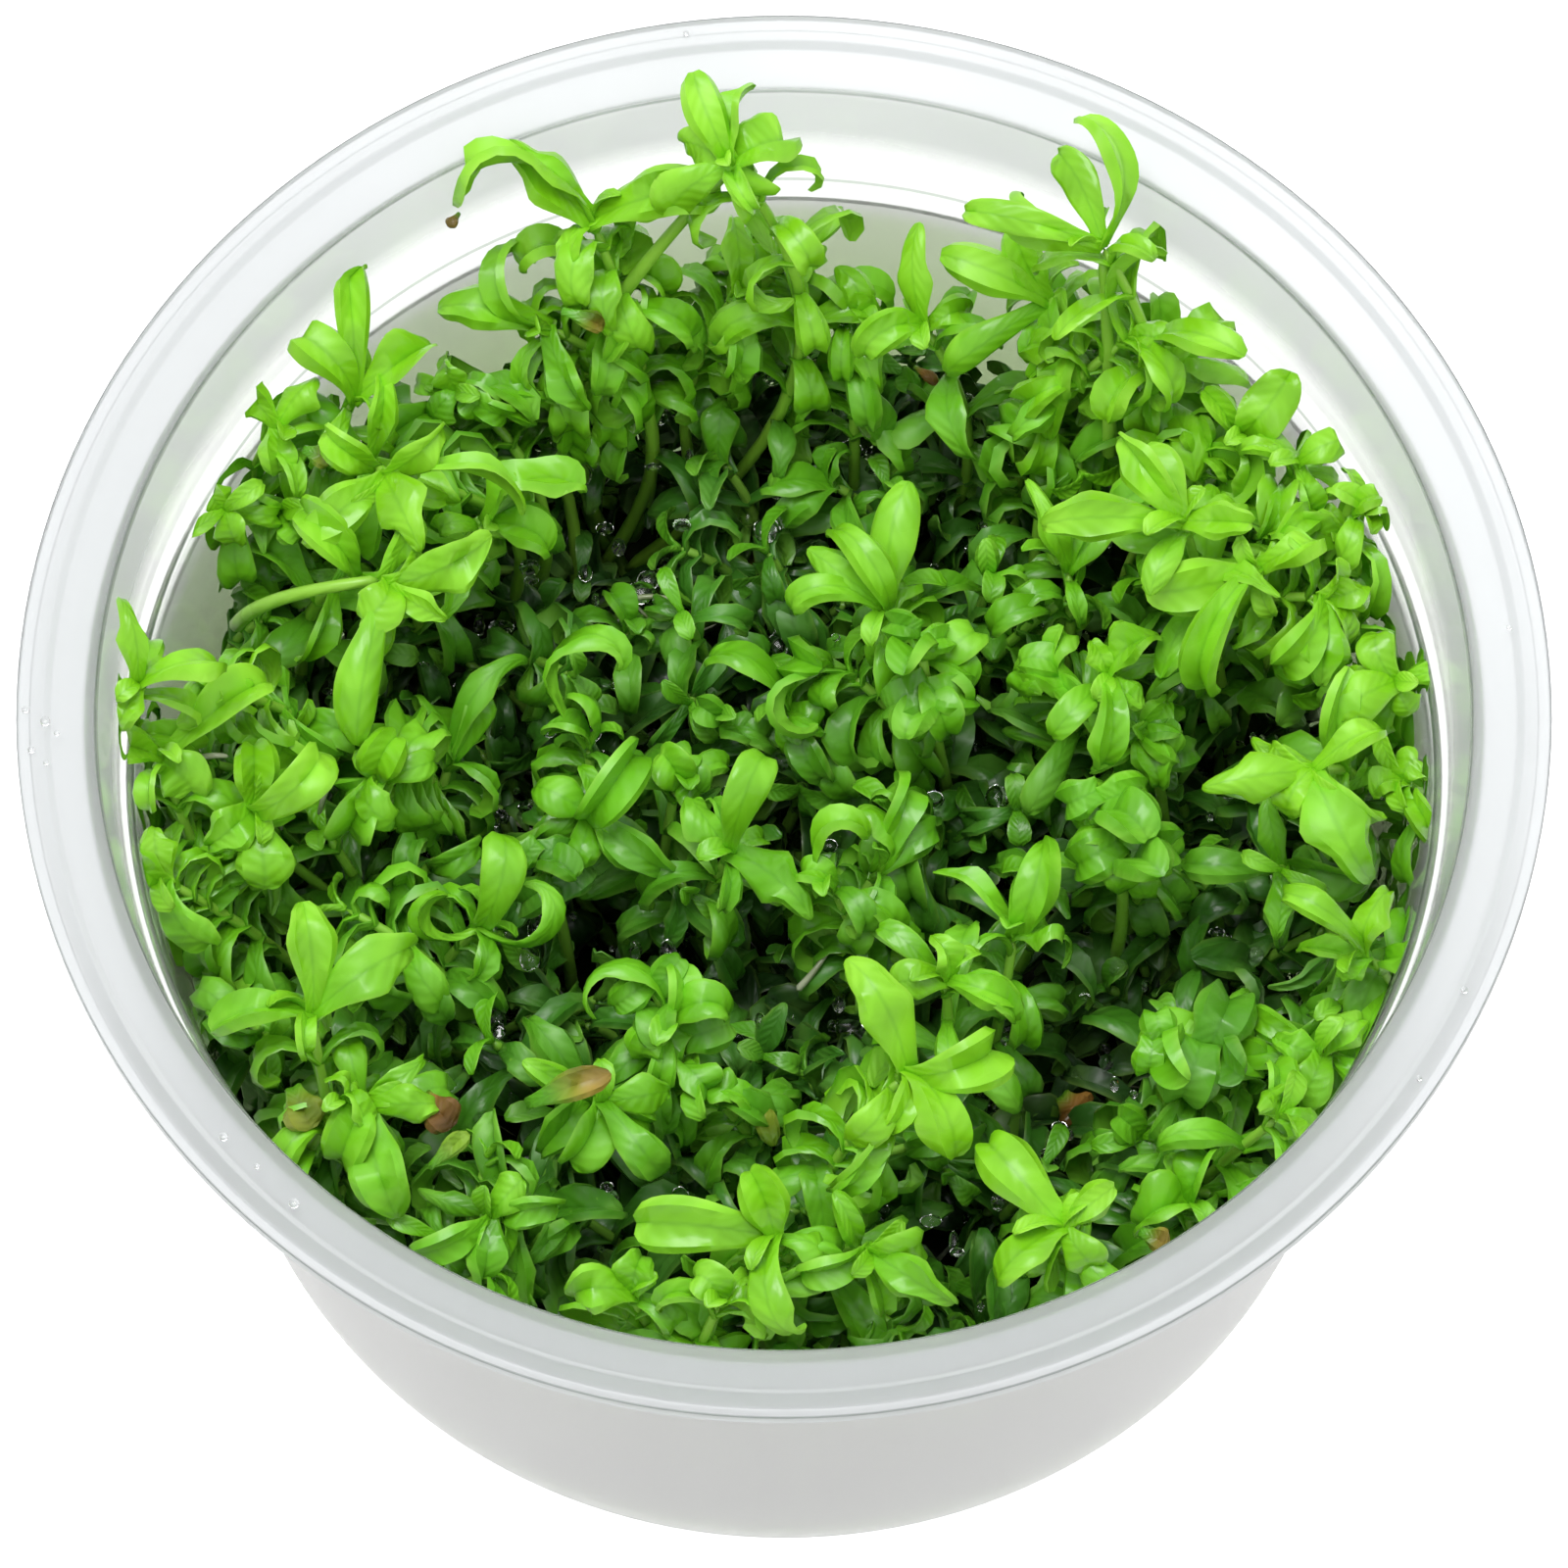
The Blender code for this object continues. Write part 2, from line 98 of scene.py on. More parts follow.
# adds a node and gives one of its outputs
def addNode(tree, kind, output, inputs, **settings):
    node = tree.nodes.new("ShaderNode" + kind)
    for key, value in settings.items():
        setattr(node, key, value)
    setInputs(node, inputs)
    return node.outputs[output]


def mapped(source, start, stop, low=0.0, high=1.0, kind="LINEAR"):
    inputs = {"Value": source, "From Min": start, "From Max": stop, "To Min": low, "To Max": high}
    return addNode(source.id_data, "MapRange", "Result", inputs, interpolation_type=kind)


def computed(operation, source, *others, kind="Math", output=0):
    return addNode(source.id_data, kind, output, dict(enumerate((source, *others))), operation=operation)


def ramped(source, stops):
    colour = addNode(source.id_data, "ValToRGB", "Color", {"Fac": source})
    elements = colour.node.color_ramp.elements
    while len(elements) < len(stops):
        elements.new(0.5)
    for element, (position, code) in zip(elements, stops):
        element.position = position
        element.color = hexColour(code)
    return colour


# one colour laid over another by a share
def overlaid(share, under, over, blend="MIX"):
    inputs = {0: share, 6: under, 7: hexColour(over) if isinstance(over, str) else over}
    return addNode(share.id_data, "Mix", 2, inputs, data_type="RGBA", blend_type=blend)


def shaded(colour, value):
    return addNode(colour.id_data, "HueSaturation", "Color", {"Color": colour, "Value": value})


# soft lumps from 0 to 1
def lumps(tree, spacing, detail):
    spot = addNode(tree, "TexCoord", "Object", {})
    return addNode(tree, "TexNoise", "Fac", {"Vector": spot, "Scale": 1 / spacing, "Detail": detail})


def embossed(height, strength, depth):
    inputs = {"Height": height, "Strength": strength, "Distance": depth}
    return addNode(height.id_data, "Bump", "Normal", inputs)


def newMaterial(name, describe):
    material = bpy.data.materials.new(name)
    material.use_nodes = True
    setInputs(material.node_tree.nodes["Principled BSDF"], describe(material.node_tree))
    return material


cupSizes = {
    "rimRadius": 50.5 * mm, "rimHeight": 56.0 * mm, "skirt": 1.1 * mm,
    "beadRadius": 48.3 * mm, "beadRise": 0.4 * mm, "flangeRise": 0.6 * mm,
    "mouthRadius": 45.3 * mm, "mouthHeight": 54.6 * mm,
    "shoulderRadius": 43.5 * mm, "shoulderHeight": 45.2 * mm, "shoulderStep": 0.8 * mm,
    "baseRadius": 39.4 * mm, "corner": 1.2 * mm, "wall": 0.8 * mm, "floor": 1.2 * mm,
    "steps": 160,
}


# living leaf: a wet waxy skin over juicy green tissue, glossy in some places and satin in others
def leafTissue(tree):
    tone, aged, side, stalk = (addNode(tree, "Attribute", "Fac", {}, attribute_name=name)
                               for name in ("tone", "aged", "side", "stalk"))
    uv = addNode(tree, "UVMap", "UV", {}, uv_map="leafMap")
    across, along = (addNode(tree, "SeparateXYZ", axis, {"Vector": uv}) for axis in "XY")
    fromRib = computed("ABSOLUTE", computed("SUBTRACT", across, 0.5))
    # cell patches about 0.8 mm wide, lighter and darker than the rest
    mottle = lumps(tree, 3.2 * mm, 1.0)
    # the tone runs from dark green low down, partly painted shade, to yellow-green at the top
    colour = ramped(tone, [(0.0, "#2a521d"), (0.3, "#428220"), (0.7, "#6cba17"), (1.0, "#82ca18")])
    colour = shaded(colour, mapped(mottle, 0.3, 0.7, 0.86, 1.14))
    # the midrib is a darker line along the middle, and the thin margin is a little paler
    colour = overlaid(mapped(fromRib, 0.0, 0.075, 0.3, 0.0, "SMOOTHSTEP"), colour, "#a9c48a", "MULTIPLY")
    colour = overlaid(mapped(fromRib, 0.4, 0.5, 0.0, 0.12, "SMOOTHSTEP"), colour, "#bfe26a")
    # towards its end a leaf has pale, thin patches, lightened with a painted glow of light through the thin
    # tissue
    paleGlowPatch = mapped(mottle, 0.42, 0.66, 0.0, 0.5, "SMOOTHSTEP")
    colour = overlaid(computed("MULTIPLY", mapped(along, 0.35, 0.95), paleGlowPatch), colour, "#6a8a38", "SCREEN")
    # the underside and the stalks are paler and duller
    colour = overlaid(mapped(side, -0.2, -0.6, 0.0, 0.35), colour, "#8cc63c")
    colour = overlaid(stalk, colour, "#9ccb4c")
    # a withered leaf is brown, and darker the longer it has lain wet
    rotten = ramped(mottle, [(0.35, "#5a3f16"), (0.65, "#a87a36")])
    colour = overlaid(aged, colour, shaded(rotten, mapped(aged, 1.0, 2.0, 1.0, 0.25)))
    # about seven side veins slant forward from the midrib
    slant = computed("MULTIPLY_ADD", fromRib, 0.45, along)
    vein = computed("SINE", computed("MULTIPLY", slant, -7 * math.tau))
    # a film of water lies unevenly, so the gloss breaks up in patches a millimetre wide
    return {"Base Color": colour, "IOR": 1.42, "Roughness": mapped(mottle, 0.35, 0.65, 0.32, 0.55),
            "Coat Weight": 0.5, "Coat IOR": 1.4, "Coat Roughness": mapped(mottle, 0.4, 0.6, 0.12, 0.34),
            "Normal": embossed(vein, 0.35, 0.04 * mm)}


# thin-wall injection-moulded polypropylene: clear, glossy, with a faint milky cast
def clearPolypropylene(tree):
    spot = addNode(tree, "TexCoord", "Object", {})
    # the section of the wall at each point: radius and height
    height = addNode(tree, "SeparateXYZ", "Z", {"Vector": spot})
    flat = computed("MULTIPLY", spot, (1, 1, 0), kind="VectorMath")
    radius = computed("LENGTH", flat, kind="VectorMath", output="Value")
    section = addNode(tree, "CombineXYZ", "Vector", {"X": radius, "Z": height})
    # the rim is thicker and satin: milkier, rougher and greyer than the polished wall
    mouth = cupSizes["mouthRadius"]
    rim = mapped(radius, mouth, mouth + 0.3 * mm)
    haze = mapped(lumps(tree, 18 * mm, 2.0), 0.3, 0.7, 0.07, 0.15)
    misty = mapped(radius, cupSizes["shoulderRadius"] + 0.4 * mm, mouth, 0.0, 0.1)
    satin = computed("MULTIPLY_ADD", rim, 0.12, computed("ADD", misty, haze))
    # lower down, the wall is coloured with a painted green reflection and painted shade from the wet leaves
    # and the gel inside
    colour = ramped(mapped(height, 10 * mm, 44 * mm), [
        (0.0, "#b4ce9a"), (0.35, "#c8e0a8"), (0.65, "#dcefc4"), (0.9, "#e9f6da"), (0.95, "#fdfefd")])
    colour = overlaid(rim, colour, "#d9dcdd")
    # corners pipe the light away, so the mouth, the shoulder and the rim's edge show as grey lines
    for key, shade, wide in (("mouth", "#94a096", 0.12 * mm), ("shoulder", "#a9b3a9", 0.12 * mm),
                             ("rim", "#a5a9aa", 0.1 * mm)):
        corner = Vector((cupSizes[key + "Radius"], 0, cupSizes[key + "Height"]))
        near = computed("DISTANCE", section, corner, kind="VectorMath", output="Value")
        colour = overlaid(mapped(near, wide, 1.6 * wide, 1.0, 0.0), colour, shade)
    return {"Base Color": colour, "IOR": 1.49, "Roughness": satin,
            "Transmission Weight": mapped(rim, 0.0, 1.0, 0.91, 0.7)}


# satin white polypropylene label film that lets light through but nothing be seen
def labelFilm(tree):
    return {"Base Color": hexColour("#eeeeed"), "Roughness": 0.35, "IOR": 1.49, "Transmission Weight": 0.92,
            "Normal": embossed(lumps(tree, 2 * mm, 2.0), 0.15, 0.02 * mm)}


# clear agar gel, coloured nearly black from above as painted shade under the dense foliage, with a wet gloss
def nutrientGel(tree):
    roots = lumps(tree, 6 * mm, 5.0)
    # lumps in the gel vary the painted shade a little
    return {"Base Color": ramped(roots, [(0.3, "#1c2716"), (0.55, "#2e3c22"), (0.75, "#56553a")]),
            "Roughness": 0.12, "IOR": 1.34, "Coat Weight": 0.5, "Coat Roughness": 0.04,
            "Normal": embossed(roots, 0.6, 0.5 * mm)}


# roots in gel are bare cellulose: pale and wet
def rootSkin(tree):
    return {"Base Color": ramped(lumps(tree, 4 * mm, 2.0), [(0.35, "#6f7d4c"), (0.65, "#cfd3b8")]),
            "Roughness": 0.2, "IOR": 1.4, "Coat Weight": 0.5, "Coat Roughness": 0.08}


# clean water, or agar as clear as water
def clearWater(tree):
    return {"Base Color": (1, 1, 1, 1), "Roughness": 0.0, "IOR": 1.33, "Transmission Weight": 1.0}


leafLook = newMaterial("freshWetLeafTissue", leafTissue)
rootLook = newMaterial("paleWetRoot", rootSkin)
dropLook = newMaterial("clearWater", clearWater)
cupLook = newMaterial("clearMouldedPolypropylene", clearPolypropylene)
labelLook = newMaterial("satinLabelFilm", labelFilm)
gelLook = newMaterial("nutrientGelPaintedShade", nutrientGel)
print("materials made")


# Cup, label and gel

labelSizes = {"bottom": 1.6 * mm, "top": 41.5 * mm, "thickness": 0.3 * mm, "gap": 0.3 * mm}
gelSizes = {"height": 11.0 * mm, "meniscus": 0.8 * mm, "meniscusWidth": 1.6 * mm, "gap": 0.3 * mm,
            "lump": 0.9 * mm, "lumpSpacing": 3.5 * mm, "rings": 22, "steps": 96}


def insideRadius(height):
    foot = cupSizes["baseRadius"] - cupSizes["wall"]
    return foot + (cupSizes["shoulderRadius"] - foot) * height / cupSizes["shoulderHeight"]


# a curve from start to end that leans towards a point between them
def arcOver(start, middle, end):
    def midline(along):
        return start.lerp(middle, along).lerp(middle.lerp(end, along), along)

    return midline


# the profile with each corner replaced by a short curve; the sharp ones lie above a height
def rounded(corners, softness, sharp, pieces=4):
    line = [corners[0]]
    for trio in zip(corners, corners[1:], corners[2:]):
        before, corner, after = (Vector(spot) for spot in trio)
        back = before - corner
        onward = after - corner
        reach = min(softness * (1.0 if corner.y < sharp else 0.3), 0.45 * back.length, 0.45 * onward.length)
        curve = arcOver(corner + back.normalized() * reach, corner, corner + onward.normalized() * reach)
        line += [curve(step / pieces)[:] for step in range(pieces + 1)]
    line.append(corners[-1])
    return line


def addItem(name, mesh, material, sharp):
    mesh.shade_smooth()
    mesh.set_sharp_from_angle(angle=math.radians(sharp))
    mesh.materials.append(material)
    item = bpy.data.objects.new(name, mesh)
    bpy.context.scene.collection.objects.link(item)
    return item


def newMesh(name, bm):
    mesh = bpy.data.meshes.new(name)
    bm.to_mesh(mesh)
    bm.free()
    return mesh


def turned(name, profile, material, steps, ring=False):
    bm = bmesh.new()
    corners = [bm.verts.new((radius, 0, height)) for radius, height in profile]
    edges = [bm.edges.new(pair) for pair in zip(corners, corners[1:])]
    if ring:
        edges.append(bm.edges.new((corners[-1], corners[0])))
    bmesh.ops.spin(bm, geom=corners + edges, cent=(0, 0, 0), axis=(0, 0, 1),
                   angle=math.tau, steps=steps, use_merge=True)
    bmesh.ops.remove_doubles(bm, verts=bm.verts, dist=0.0005 * mm)
    bmesh.ops.recalc_face_normals(bm, faces=bm.faces)
    return addItem(name, newMesh(name, bm), material, 40)


def makeCup():
    s = cupSizes
    wall, corner, floor, step = (s[key] for key in ("wall", "corner", "floor", "shoulderStep"))
    base, shoulder, mouth = (s[key + "Radius"] for key in ("base", "shoulder", "mouth"))
    bead, rim = (s[key + "Radius"] for key in ("bead", "rim"))
    shoulderHeight, mouthHeight, rimHeight = (s[key + "Height"] for key in ("shoulder", "mouth", "rim"))
    beadHeight = mouthHeight + s["flangeRise"]
    skirt = rimHeight - s["skirt"]
    outside = [
        (0.0, 0.0), (base - corner, 0.0), (base, 0.15 * corner), (insideRadius(corner) + wall, corner),
        (insideRadius(shoulderHeight - wall) + wall, shoulderHeight - wall),
        (shoulder + wall + step, shoulderHeight), (mouth + wall, mouthHeight - wall),
        (bead, beadHeight - wall), (rim - wall, rimHeight - wall), (rim - wall, skirt), (rim, skirt),
    ]
    inside = [
        (rim, rimHeight), (bead + s["beadRise"], beadHeight + s["beadRise"]), (bead, beadHeight),
        (mouth, mouthHeight), (shoulder + step, shoulderHeight + step), (shoulder, shoulderHeight),
        (insideRadius(floor + corner), floor + corner), (insideRadius(floor) - corner, floor), (0.0, floor),
    ]
    profile = rounded(outside + inside, 0.45 * mm, 0.98 * rimHeight)
    cup = turned("clearCup", profile, cupLook, s["steps"])
    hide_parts("cup")
    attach(cup, "root")


def makeLabel():
    s = labelSizes
    low = insideRadius(s["bottom"]) + cupSizes["wall"] + s["gap"]
    high = insideRadius(s["top"]) + cupSizes["wall"] + s["gap"]
    profile = [(low, s["bottom"]), (low + s["thickness"], s["bottom"]),
               (high + s["thickness"], s["top"]), (high, s["top"])]
    label = turned("labelSleeve", profile, labelLook, cupSizes["steps"], ring=True)
    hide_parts("label")
    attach(label, "root")


def makeGel():
    s = gelSizes
    under = cupSizes["floor"] + s["gap"]
    edgeHeight = s["height"] + s["meniscus"]
    edge = insideRadius(edgeHeight) - s["gap"]
    corner = cupSizes["corner"]
    reach = edge - s["meniscusWidth"]
    profile = [(0.0, under), (insideRadius(under) - corner - s["gap"], under),
               (insideRadius(under + corner) - s["gap"], under + corner), (edge, edgeHeight)]
    profile += [(reach * (1 - ring / s["rings"]), s["height"]) for ring in range(s["rings"])]
    gel = turned("gelBed", profile + [(0.0, s["height"])], gelLook, s["steps"])
    for vertex in gel.data.vertices:      # roots and lumps just under the skin
        if vertex.co.z > s["height"] - 0.01 * mm and vertex.co.xy.length < reach - 0.5 * mm:
            vertex.co.z += s["lump"] * (noise.noise(vertex.co / s["lumpSpacing"]) - 0.2)
    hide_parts("nutrient_gel")
    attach(gel, "root")


makeCup()
makeLabel()
makeGel()
print("cup, label and gel made")


# Leaves and stems

leafForm = {
    "columns": 8,
    "crownRings": 16,
    "fineRings": 10,
    "coarseRings": 8,
    "lastRing": 0.975,       # where along the leaf its tip starts to close
    "thickness": 0.28 * mm,
    "groove": 0.07 * mm,     # depth of the midrib's furrow
}
stemForm = {"around": 8, "rings": 14, "radius": 0.5 * mm, "taper": 0.65}
wallGap = 0.15 * mm          # between a leaf and the wall that it is pressed against
gelTop = gelSizes["height"] + 0.3 * mm


# a closed ball of rings that is drawn out into a leaf or a stem
class Template:
    def __init__(self, name, around, rings):
        bm = bmesh.new()
        bmesh.ops.create_uvsphere(bm, u_segments=around, v_segments=rings, radius=1.0)
        self.mesh = newMesh(name, bm)
        spots = np.array([vertex.co[:] for vertex in self.mesh.vertices])
        self.rings = rings
        self.ring = np.rint(np.arccos(np.clip(-spots[:, 2], -1, 1)) / math.pi * rings).astype(int)
        girth = np.hypot(spots[:, 0], spots[:, 1])
        girth[girth < 1e-4] = 1.0
        self.across, self.rise = spots.T[:2] / girth * ((self.ring > 0) & (self.ring < rings))


crownLeaf = Template("crownLeaf", leafForm["columns"], leafForm["crownRings"])
fineLeaf = Template("fineLeaf", leafForm["columns"], leafForm["fineRings"])
coarseLeaf = Template("coarseLeaf", leafForm["columns"], leafForm["coarseRings"])
stemBody = Template("stemBody", stemForm["around"], stemForm["rings"])
rootThread = Template("rootThread", 5, 8)
beadBall = Template("beadBall", 8, 6)


# the midline of a leaf one unit long that bends down by an angle: places ahead and below
def curveOf(bend, ease, steps=40):
    along = np.linspace(0, 1, steps + 1)
    angle = bend * along ** ease
    middle = 0.5 * (angle[1:] + angle[:-1])
    ahead = np.concatenate(([0], np.cumsum(np.cos(middle)) / steps))
    below = np.concatenate(([0], np.cumsum(np.sin(middle)) / steps))
    return along, angle, ahead, below


# where the rings of a leaf sit, closer together where it bends most
def ringPlaces(rings, along, angle):
    spread = 0.5 * along + 0.5 * angle / max(angle[-1], 0.01)
    inner = np.interp(np.linspace(0, 1, rings - 1), spread, along) * leafForm["lastRing"]
    return np.concatenate(([0.0], inner, [1.0]))


# from 0 to 1 between two places, with a soft start and stop
def softStep(value, start, stop):
    share = np.clip((value - start) / (stop - start), 0, 1)
    return share ** 2 * (3 - 2 * share)


# the points of one leaf, from its base, its first direction and the way its face looks; it is
# a strap with a stalk of some share of its width, widest at its belly, with a round tip;
# puff raises the two halves beside the midrib, droop rolls the edges under (or folds them up),
# wave ripples the edges
def growLeaf(base, ahead, face, length, width, bend, ease=1.3, twist=0.0, puff=0.3, droop=0.25,
             wave=0.0, sweep=0.0, stalk=0.4, belly=0.68, blunt=2.0, pinch=0.0, template=fineLeaf):
    ahead = np.array(ahead.normalized())
    face = np.array(face)
    face = face - ahead * face.dot(ahead)
    face = face / np.linalg.norm(face)
    side = np.cross(face, ahead)
    along, angle, forward, below = curveOf(bend, ease)
    inside = ringPlaces(template.rings, along, angle)
    turn = np.interp(inside, along, angle)[:, None]
    centre = np.interp(inside, along, forward)[:, None] * ahead * length
    centre -= np.interp(inside, along, below)[:, None] * face * length
    centre += (inside ** 2)[:, None] * side * sweep * length
    centre[0] -= 0.2 * mm * ahead
    normal = ahead * np.sin(turn) + face * np.cos(turn)
    spin = (twist * inside)[:, None]
    sides = side * np.cos(spin) + normal * np.sin(spin)
    normals = normal * np.cos(spin) - side * np.sin(spin)
    swell = stalk + (1 - stalk) * softStep(inside, 0.1, belly)
    half = 0.5 * width * swell * (1 - np.clip((inside - belly) / (1 - belly), 0, 1) ** blunt) ** 0.5
    half *= 1 - pinch * softStep(inside, belly - 0.05, belly + 0.15)     # a narrow, rolled tip
    thick = 0.5 * leafForm["thickness"] * (1 + 1.2 * (1 - inside) ** 4) * (1 - 0.4 * inside)
    ring = template.ring
    a = template.across
    b = template.rise
    hump = np.sin(0.75 * math.pi * np.abs(a) ** 1.6)
    ripple = wave * a * np.sin(9.5 * inside[ring] + 2.0 * np.sign(a))
    opened = softStep(inside, 0.0, 0.5)[ring]        # the stalk is a gutter, the blade opens out
    lift = thick[ring] * b + half[ring] * opened * (puff * hump - droop * a ** 2 + ripple)
    lift += half[ring] * 0.4 * (1 - opened) * a ** 2
    lift -= leafForm["groove"] * (b > 0.5) * (np.abs(a) < 0.1) * (half[ring] > 0.5 * mm)
    points = np.array(base) + centre[ring] + sides[ring] * (half[ring] * a)[:, None]
    points += normals[ring] * lift[:, None]
    return template, points, np.stack([0.5 + 0.5 * a, inside[ring]], axis=1), b


# a leaf whose tip ends in a given place, however much it bends on the way
def leafBetween(base, end, face, width, bend, ease, **more):
    along, angle, forward, below = curveOf(bend, ease)
    chord = end - base
    direction = chord.normalized()
    face = (face - direction * face.dot(direction)).normalized()
    dip = math.atan2(below[-1], forward[-1])
    ahead = direction * math.cos(dip) + face * math.sin(dip)
    length = chord.length / math.hypot(forward[-1], below[-1])
    outer = face * math.cos(dip) - direction * math.sin(dip)
    return growLeaf(base, ahead, outer, length, width, bend, ease, **more)


# gathers leaves and stems and joins them in one mesh
class Foliage:
    def __init__(self):
        self.parts = []

    def add(self, grown, tone, aged=0.0, stalk=0.0):
        template, points, marks, side = grown
        values = [np.broadcast_to(value, len(points)) for value in (side, tone, aged, stalk)]
        self.parts.append((template.mesh, self.insideCup(points), marks, *values))

    # press whatever meets the wall flat against it
    def insideCup(self, points):
        s = cupSizes
        heights = [0, s["shoulderHeight"], s["mouthHeight"]]
        radii = [s["baseRadius"] - s["wall"], s["shoulderRadius"], s["mouthRadius"] - s["shoulderStep"]]
        limit = np.interp(points[:, 2], heights, radii) - wallGap
        limit[points[:, 2] > s["mouthHeight"]] = 1.0
        radius = np.hypot(points[:, 0], points[:, 1])
        share = np.minimum(1.0, limit / np.maximum(radius, 1e-9))
        # a pressed leaf keeps some of its thickness
        points[:, :2] *= np.where(share < 1.0, share + 0.02 * (1 - share), 1.0)[:, None]
        points[:, 2] = np.maximum(points[:, 2], gelTop)
        return points

    def finish(self, name, nodes=(), look=leafLook):
        bm = bmesh.new()
        for part in self.parts:
            bm.from_mesh(part[0])
        mesh = newMesh(name, bm)
        points, marks, *values = (np.concatenate(column) for column in list(zip(*self.parts))[1:])
        mesh.vertices.foreach_set("co", points.ravel())
        corners = np.zeros(len(mesh.loops), dtype=np.int32)
        mesh.loops.foreach_get("vertex_index", corners)
        mesh.uv_layers.new(name="leafMap").data.foreach_set("uv", marks[corners].ravel())
        for key, value in zip(("side", "tone", "aged", "stalk"), values):
            layer = mesh.attributes.new(key, "FLOAT", "POINT")
            layer.data.foreach_set("value", value.astype(np.float32))
        mesh.update()
        item = addItem(name, mesh, look, 75)
        if nodes:
            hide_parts(*nodes)
        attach(item, "root")


# a round thread along a midline, thinner towards its end
def drawnAlong(template, midline, radius, taper):
    rings = template.rings
    along = np.clip((np.arange(rings + 1) - 0.5) / (rings - 1), 0, 1)
    centre = np.array([midline(share)[:] for share in along])
    heading = np.gradient(centre, axis=0)
    heading[0] = heading[1]
    heading[-1] = heading[-2]
    heading /= np.linalg.norm(heading, axis=1)[:, None]
    sideways = np.cross(np.array((0.3, 1.0, 0.0)), heading)
    sideways /= np.linalg.norm(sideways, axis=1)[:, None]
    other = np.cross(heading, sideways)
    girth = radius * (1.1 - (1.1 - taper) * along)
    ring = template.ring
    points = centre[ring] + sideways[ring] * (girth[ring] * template.across)[:, None]
    points += other[ring] * (girth[ring] * template.rise)[:, None]
    return template, points, np.stack([0.75 + 0.2 * template.across, along[ring]], axis=1), 0.5


print("leaf and stem forms ready")


